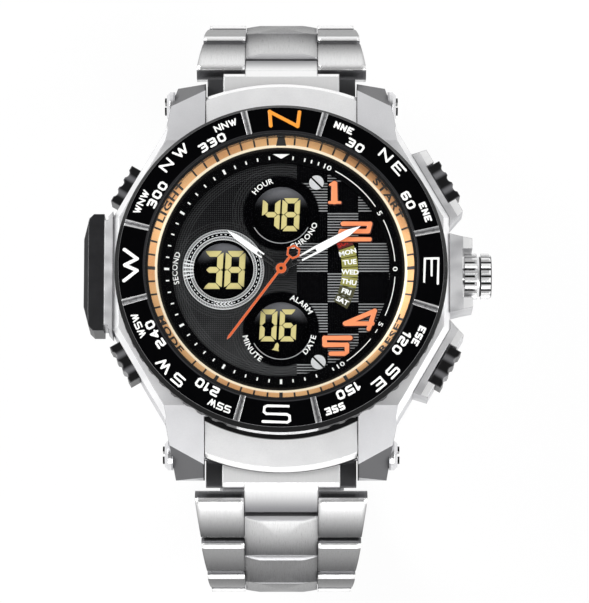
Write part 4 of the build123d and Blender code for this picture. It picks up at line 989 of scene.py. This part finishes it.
# Bezel scale, on an insert that is turned a little with its ring


def bezel_word(text, bearing, radius, height, stretch, half, gap, thick, soft):
    """A word of raised strokes bent round the bezel, its letters a gap apart."""
    return bent(stroke_word(text, height, stretch, half, gap, thick, soft), radius,
                bearing + BEZEL_TURN, insert_top)


QUARTERS = (("E", 90.7, 2.4, 1.5, 0.17), ("S", 180.4, 2.75, 1.42, 0.2),
            ("W", 269.0, 2.6, 1.52, 0.27))
white = bmesh.new()
for word, bearing, height, stretch, half in QUARTERS:
    join(white, bezel_word(word, bearing, 22.65, height, stretch, half, 0.0, 0.14, 0.06))
for word, bearing in (("NE", 45.2), ("SE", 136.3), ("SW", 224.2), ("NW", 314.6)):
    join(white, bezel_word(word, bearing, 23.2, 1.65, 1.08, 0.17, 0.85, 0.12, 0.04))
for word, bearing in (("NNE", 22.8), ("ENE", 68.0), ("ESE", 116.2), ("SSE", 158.5),
                      ("SSW", 202.0), ("WSW", 245.6), ("WNW", 293.7), ("NNW", 337.5)):
    stretch, half = (0.78, 0.115) if "W" in word else (0.66, 0.15)
    join(white, bezel_word(word, bearing, 23.25, 1.12, stretch, half, 0.15, 0.1, 0.03))
for degrees, bearing in ((30, 30), (60, 61.2), (120, 121.9), (150, 151), (210, 209.4),
                         (240, 239.6), (300, 298.9), (330, 330)):
    join(white, bezel_word(str(degrees), bearing, 21.6, 1.42, 1.08, 0.17, 0.3, 0.12, 0.04))
finished("bezel_scale", white, "bezel", INK_WHITE)
north = bezel_word("N", 0, 22.7, 2.9, 1.62, 0.3, 0.0, 0.16, 0.08)
finished("bezel_north", north, "bezel", BEZEL_ORANGE)

# Chapter ring print

TICK_RADIUS, MINUTE_DEGREES = 19.55, 6
BUTTON_WORDS = (("LIGHT", 301.2, True, 1.802), ("START", 56.5, True, 1.802),
                ("RESET", 121.0, False, 1.802), ("MODE", 238.6, False, 1.696))
WORD_GAPS = ((7.9, 11.1), (17.9, 22.1), (37.9, 41.6), (48.4, 52.1))  # in minutes

ticks = bmesh.new()
for minute in range(1, 60):
    bearing = minute * MINUTE_DEGREES
    if any(low < minute < high for low, high in WORD_GAPS):
        continue
    size = (0.28, 0.95, RAISED_INK) if minute % 5 else (0.53, 1.15, FLAT_INK)
    join(ticks, bent(bar(*size), TICK_RADIUS, bearing, chapter_top))
top_mark = plate([(-0.8, -0.62), (0.8, -0.62), (0.5, 0.62), (-0.5, 0.62)], FLAT_INK)
join(ticks, bent(top_mark, TICK_RADIUS, 0, chapter_top))
for word, bearing, out, width in BUTTON_WORDS:
    letters = font_word(word, 0.92, width, 0.04, RAISED_INK, 1.12)
    join(ticks, bent(letters, 19.6, bearing, chapter_top, out))
finished("chapter_print", ticks, "case", INK_BLACK)

# Flange print: minutes on the left, words and dashed arcs on the right

FLANGE_RADIUS, DASHES = 17.2, 8

marks = bmesh.new()
for minute in list(range(27, 60)) + [1, 2]:
    width, length, radius = (0.2, 0.5, FLANGE_RADIUS) if minute % 5 else (0.34, 0.74, 17.25)
    join(marks, bent(bar(width, length, FLAT_INK), radius, minute * MINUTE_DEGREES, flange_top))
top_mark = plate([(-1.25, 0.36), (0, -0.36), (1.25, 0.36)], FLAT_INK)
join(marks, bent(top_mark, 17.4, 0, flange_top))
for bearing in (15.5, 19.2, 153.0):
    join(marks, bent(bar(0.2, 0.5, FLAT_INK), FLANGE_RADIUS, bearing, flange_top))
for word, bearing, out in (("10", 24.2, True), ("5", 60.0, True), ("0", 90.0, True),
                           ("5", 119.5, True), ("10", 148.5, False)):
    letters = font_word(word, 0.74, 1.5, 0.012, FLAT_INK)
    join(marks, bent(letters, FLANGE_RADIUS, bearing, flange_top, out))
for start, end in ((28.5, 56.0), (64.0, 86.0), (94.0, 114.5), (122.5, 124.6), (128.5, 145.0)):
    step = (end - start) / DASHES
    for n in range(DASHES):
        dash = bar(math.radians(step) * FLANGE_RADIUS + 0.01, 0.13, FLAT_INK)
        join(marks, bent(dash, FLANGE_RADIUS, start + step * (n + 0.5), flange_top))
finished("flange_print", marks, "case", INK_WHITE)

# Dial print

LABELS = (("HOUR", 0, -33.5, 5.2, True), ("CHRONO", 0, 135.5, 5.35, False),
          ("SECOND", 2, 272.0, 7.35, True), ("ALARM", 1, 38.5, 5.1, True),
          ("DATE", 1, 119.0, 5.0, False), ("MINUTE", 1, 236.0, 5.5, False))
labels = bmesh.new()
for word, window, bearing, radius, out in LABELS:
    letters = font_word(word, 0.84, 1.05, 0.02, FLAT_INK, 1.08)
    join(labels, bent(letters, radius, bearing, dial_top, out, WINDOWS[window]))
finished("dial_labels", labels, "case", INK_WHITE)

arcs = bmesh.new()
for wx, wy in WINDOWS[:2]:
    join(arcs, laid(sector(4.55, 4.66, 118, 242, THIN_INK, 24), wx, wy, DIAL_Z))
finished("window_arcs", arcs, "case", SILVER_INK)

# Each stroke path of the hour numerals with half its width
NUMERALS = (
    ([(8.05, 10.55), (8.05, 13.2)], 0.5),
    ([(7.3, 10.35), (8.9, 10.35)], 0.22),
    ([(7.45, 13.1), (8.0, 13.45)], 0.2),
    ([(9.35, 7.05), (13.45, 7.05), (13.15, 5.9), (9.05, 5.9), (8.8, 4.65), (13.35, 4.65)], 0.36),
    ([(9.65, -8.3), (14.1, -6.35), (13.2, -9.1)], 0.36),
    ([(9.65, -8.3), (13.75, -8.3)], 0.36),
    ([(10.4, -10.5), (6.55, -10.5), (6.55, -11.55), (9.9, -11.55), (9.9, -12.9), (7.5, -12.9)],
     0.37),
)
PATH_STEP, SHADE_OFF, SHADE_RIM = 0.01, 0.03, 0.12
faces, shades = bmesh.new(), bmesh.new()
for n, (path, half) in enumerate(NUMERALS):
    part = strokes(path, half, 0.32 + PATH_STEP * n, 0.08)
    join(faces, laid(part, 0, 0, DIAL_Z))
    below = [(x + SHADE_OFF, y - SHADE_OFF) for x, y in path]
    part = strokes(below, half + SHADE_RIM, 0.16 + PATH_STEP * n)
    join(shades, laid(part, 0, 0, DIAL_Z))
finished("dial_numerals", faces, "case", NUMERAL_ORANGE)
finished("numeral_shades", shades, "case", NUMERAL_SHADE)

# Days of the week, on an arc of coloured cells at 3 o'clock

DAYS = ("SUN", "MON", "TUE", "WED", "THU", "FRI", "SAT")
FIRST_DAY, DAY_PITCH, CELL_HALF, DAY_RADIUS = 90 - 23.4, 8.45, 3.9, 10.4
DAY_RED = lacquer("day_red", tone(84, 16, 12), 0.45, 0.15)
DAY_OLIVE = lacquer("day_olive", tone(142, 138, 66), 0.45, 0.12)
DAY_DARK = lacquer("day_dark", tone(62, 60, 30), 0.45, 0.2)
INK_RED = lacquer("ink_red", tone(196, 36, 30))
olive, dark, red, names, red_name = (bmesh.new() for _ in range(5))
for n, day in enumerate(DAYS):
    bearing = FIRST_DAY + n * DAY_PITCH
    cell = sector(9.2, 11.6, bearing - CELL_HALF, bearing + CELL_HALF, RAISED_INK, 4)
    join(red if n == 0 else dark if n > 4 else olive, laid(cell, 0, 0, DIAL_Z))
    word = font_word(day, 0.74, 1.12, 0.04, FLAT_INK)
    a = math.radians(bearing)
    join(red_name if n == 0 else names,
         laid(word, DAY_RADIUS * math.sin(a), DAY_RADIUS * math.cos(a), DIAL_Z + RAISED_INK,
              90 - bearing))
finished("day_cells_olive", olive, "case", DAY_OLIVE)
finished("day_cells_dark", dark, "case", DAY_DARK)
finished("day_cell_red", red, "case", DAY_RED)
finished("day_names", names, "case", INK_WHITE)
finished("day_name_red", red_name, "case", INK_RED)


# Liquid crystal digits

SEGMENTS = {"0": "abcdef", "3": "abcdg", "4": "bcfg", "6": "acdefg", "8": "abcdefg"}
# The side of each outer segment that faces out of the digit
OUTWARD = {"a": 1, "d": -1, "f": 1, "e": 1, "b": -1, "c": -1}
SEGMENT_GAP, OUTER_REACH, LEAN = 0.07, 1.55, 0.05


def seven(digit, width, height, thick):
    """The lit segments of one digit as thin plates with pointed ends, centred on the origin. The
    outer side of each is longer than its inner side, and the digit leans a little."""
    half_w, half_h, t = width / 2, height / 2, thick / 2
    left, right, top, bottom = -half_w + t, half_w - t, half_h - t, -half_h + t
    bm = bmesh.new()
    lines = {"a": ((left, top), (right, top)), "b": ((right, 0), (right, top)),
             "c": ((right, bottom), (right, 0)), "d": ((left, bottom), (right, bottom)),
             "e": ((left, bottom), (left, 0)), "f": ((left, 0), (left, top)),
             "g": ((left, 0), (right, 0))}
    for name in SEGMENTS[digit]:
        start, end = Vector(lines[name][0]), Vector(lines[name][1])
        along = (end - start).normalized()
        across = Vector((-along.y, along.x))
        a, b = start + along * SEGMENT_GAP, end - along * SEGMENT_GAP
        points = [a, a + along * t + across * t, b - along * t + across * t, b,
                  b - along * t - across * t, a + along * t - across * t]
        side = across * t * OUTWARD.get(name, 0)
        for i in (1, 2, 4, 5):
            near, sign = (a, 1) if i in (1, 5) else (b, -1)
            if (points[i] - near).dot(side) > 0:
                points[i] = points[i] - along * t * (OUTER_REACH * sign)
        join(bm, plate([tuple(p) for p in points], THIN_INK))
    lean = Matrix(((1, LEAN, 0, 0), (0, 1, 0, 0), (0, 0, 1, 0), (0, 0, 0, 1)))
    bmesh.ops.transform(bm, matrix=lean, verts=bm.verts)
    return bm


READINGS = (("48", -0.05, 8.65, 2.7, 5.1, 2.98, 0.8), ("38", -8.66, 0.12, 3.0, 5.85, 3.35, 0.9),
            ("06", -0.45, -8.4, 2.55, 4.9, 2.95, 0.76))
digits = bmesh.new()
for text, x, y, width, height, pitch, thick in READINGS:
    for n, digit in enumerate(text):
        join(digits, laid(seven(digit, width, height, thick), x + (n - 0.5) * pitch, y, CELL_Z))
bell = plate([(-0.5, -0.55), (0.6, -0.55), (0.45, -0.25), (0.4, 0.4), (0.1, 0.7), (-0.15, 0.4),
              (-0.25, -0.25)], THIN_INK)
join(digits, laid(bell, -0.8, -11.7, CELL_Z, -12))
finished("cell_digits", digits, "case", DIGIT_KHAKI)


# Floor, light and camera. Lengths are metres here.

FLOOR_HALF, FLOOR_GAP = 3.0, 0.0001


def pale_floor():
    """White floor that the camera, metal and glass see as white, with a faint shadow."""
    f = Finish("pale_floor")
    path = f.node("ShaderNodeLightPath", output="Is Camera Ray")
    seen = path + path.also("Is Glossy Ray") + path.also("Is Transmission Ray")
    seen = seen.math("MINIMUM", 1.0)
    matt = f.node("ShaderNodeBsdfDiffuse", inputs={"Color": (0.86, 0.86, 0.86, 1.0)})
    white = f.node("ShaderNodeEmission", inputs={"Color": (1.0, 1.0, 1.0, 1.0), "Strength": 1.0})
    return f.surface(f.node("ShaderNodeMixShader", inputs={0: seen * 0.88, 1: matt, 2: white}))


floor_mesh = bpy.data.meshes.new("floor")
sheet = bmesh.new()
bmesh.ops.create_grid(sheet, x_segments=1, y_segments=1, size=FLOOR_HALF)
bmesh.ops.translate(sheet, verts=sheet.verts, vec=(0, 0, cad_box[0].z - FLOOR_GAP))
sheet.to_mesh(floor_mesh)
sheet.free()
floor = placed("floor", floor_mesh)
floor_mesh.materials.append(pale_floor())

# Greys of the sky from straight down at 0 to straight up at 1
SKY = ((0.0, 0.9), (0.55, 1.0), (0.72, 1.0), (0.87, 0.8), (0.955, 0.36), (1.0, 0.22))

world = bpy.data.worlds.new("studio")
bpy.context.scene.world = world
sky = Finish("studio", world)
rise = sky.parts(sky.node("ShaderNodeTexCoord", output="Generated"))[2]
glow = sky.node("ShaderNodeValToRGB", {"stops": [(place, (v, v, v, 1)) for place, v in SKY]},
                {0: rise * 0.5 + 0.5})
light = sky.node("ShaderNodeBackground", inputs={"Color": glow, "Strength": 0.9})
sky.node("ShaderNodeOutputWorld", inputs={"Surface": light})


def aimed(thing, place, back):
    """Puts a lamp or camera at a place, looking against the direction back."""
    thing.location = place
    thing.rotation_mode = "QUATERNION"
    thing.rotation_quaternion = (-back).to_track_quat("-Z", "Y")


def lamp(name, place, size, power):
    """A soft square lamp that faces the watch."""
    area = bpy.data.lights.new(name, "AREA")
    area.shape = "SQUARE"
    area.size, area.energy = size, power
    aimed(placed(name, area), place, Vector(place))


lamp("key_left", (-0.9, 0.35, 0.75), 0.7, 9.0)
lamp("fill_right", (0.95, -0.2, 0.7), 0.8, 7.0)
lamp("front", (0.1, -1.0, 0.7), 0.8, 5.0)

# The camera that fits the photo, its distance and aim in millimetres
ELEVATION, DISTANCE, AIM = math.radians(79.2), 630.6, Vector((2.019, -4.87, 11.0))
FOCAL_PIXELS, LONG_SIDE_PIXELS, SENSOR = 4184.4, 603, 36.0

camera_data = bpy.data.cameras.new("camera")
camera_data.sensor_fit = "AUTO"
camera_data.sensor_width = SENSOR
camera_data.lens = FOCAL_PIXELS / LONG_SIDE_PIXELS * SENSOR
camera_data.clip_start, camera_data.clip_end = 0.05, 20.0
camera = placed("camera", camera_data)
back = Vector((0, -math.cos(ELEVATION), math.sin(ELEVATION)))
aimed(camera, (AIM + back * DISTANCE) * MM, back)
bpy.context.scene.camera = camera
bpy.context.scene.view_settings.view_transform = "Standard"
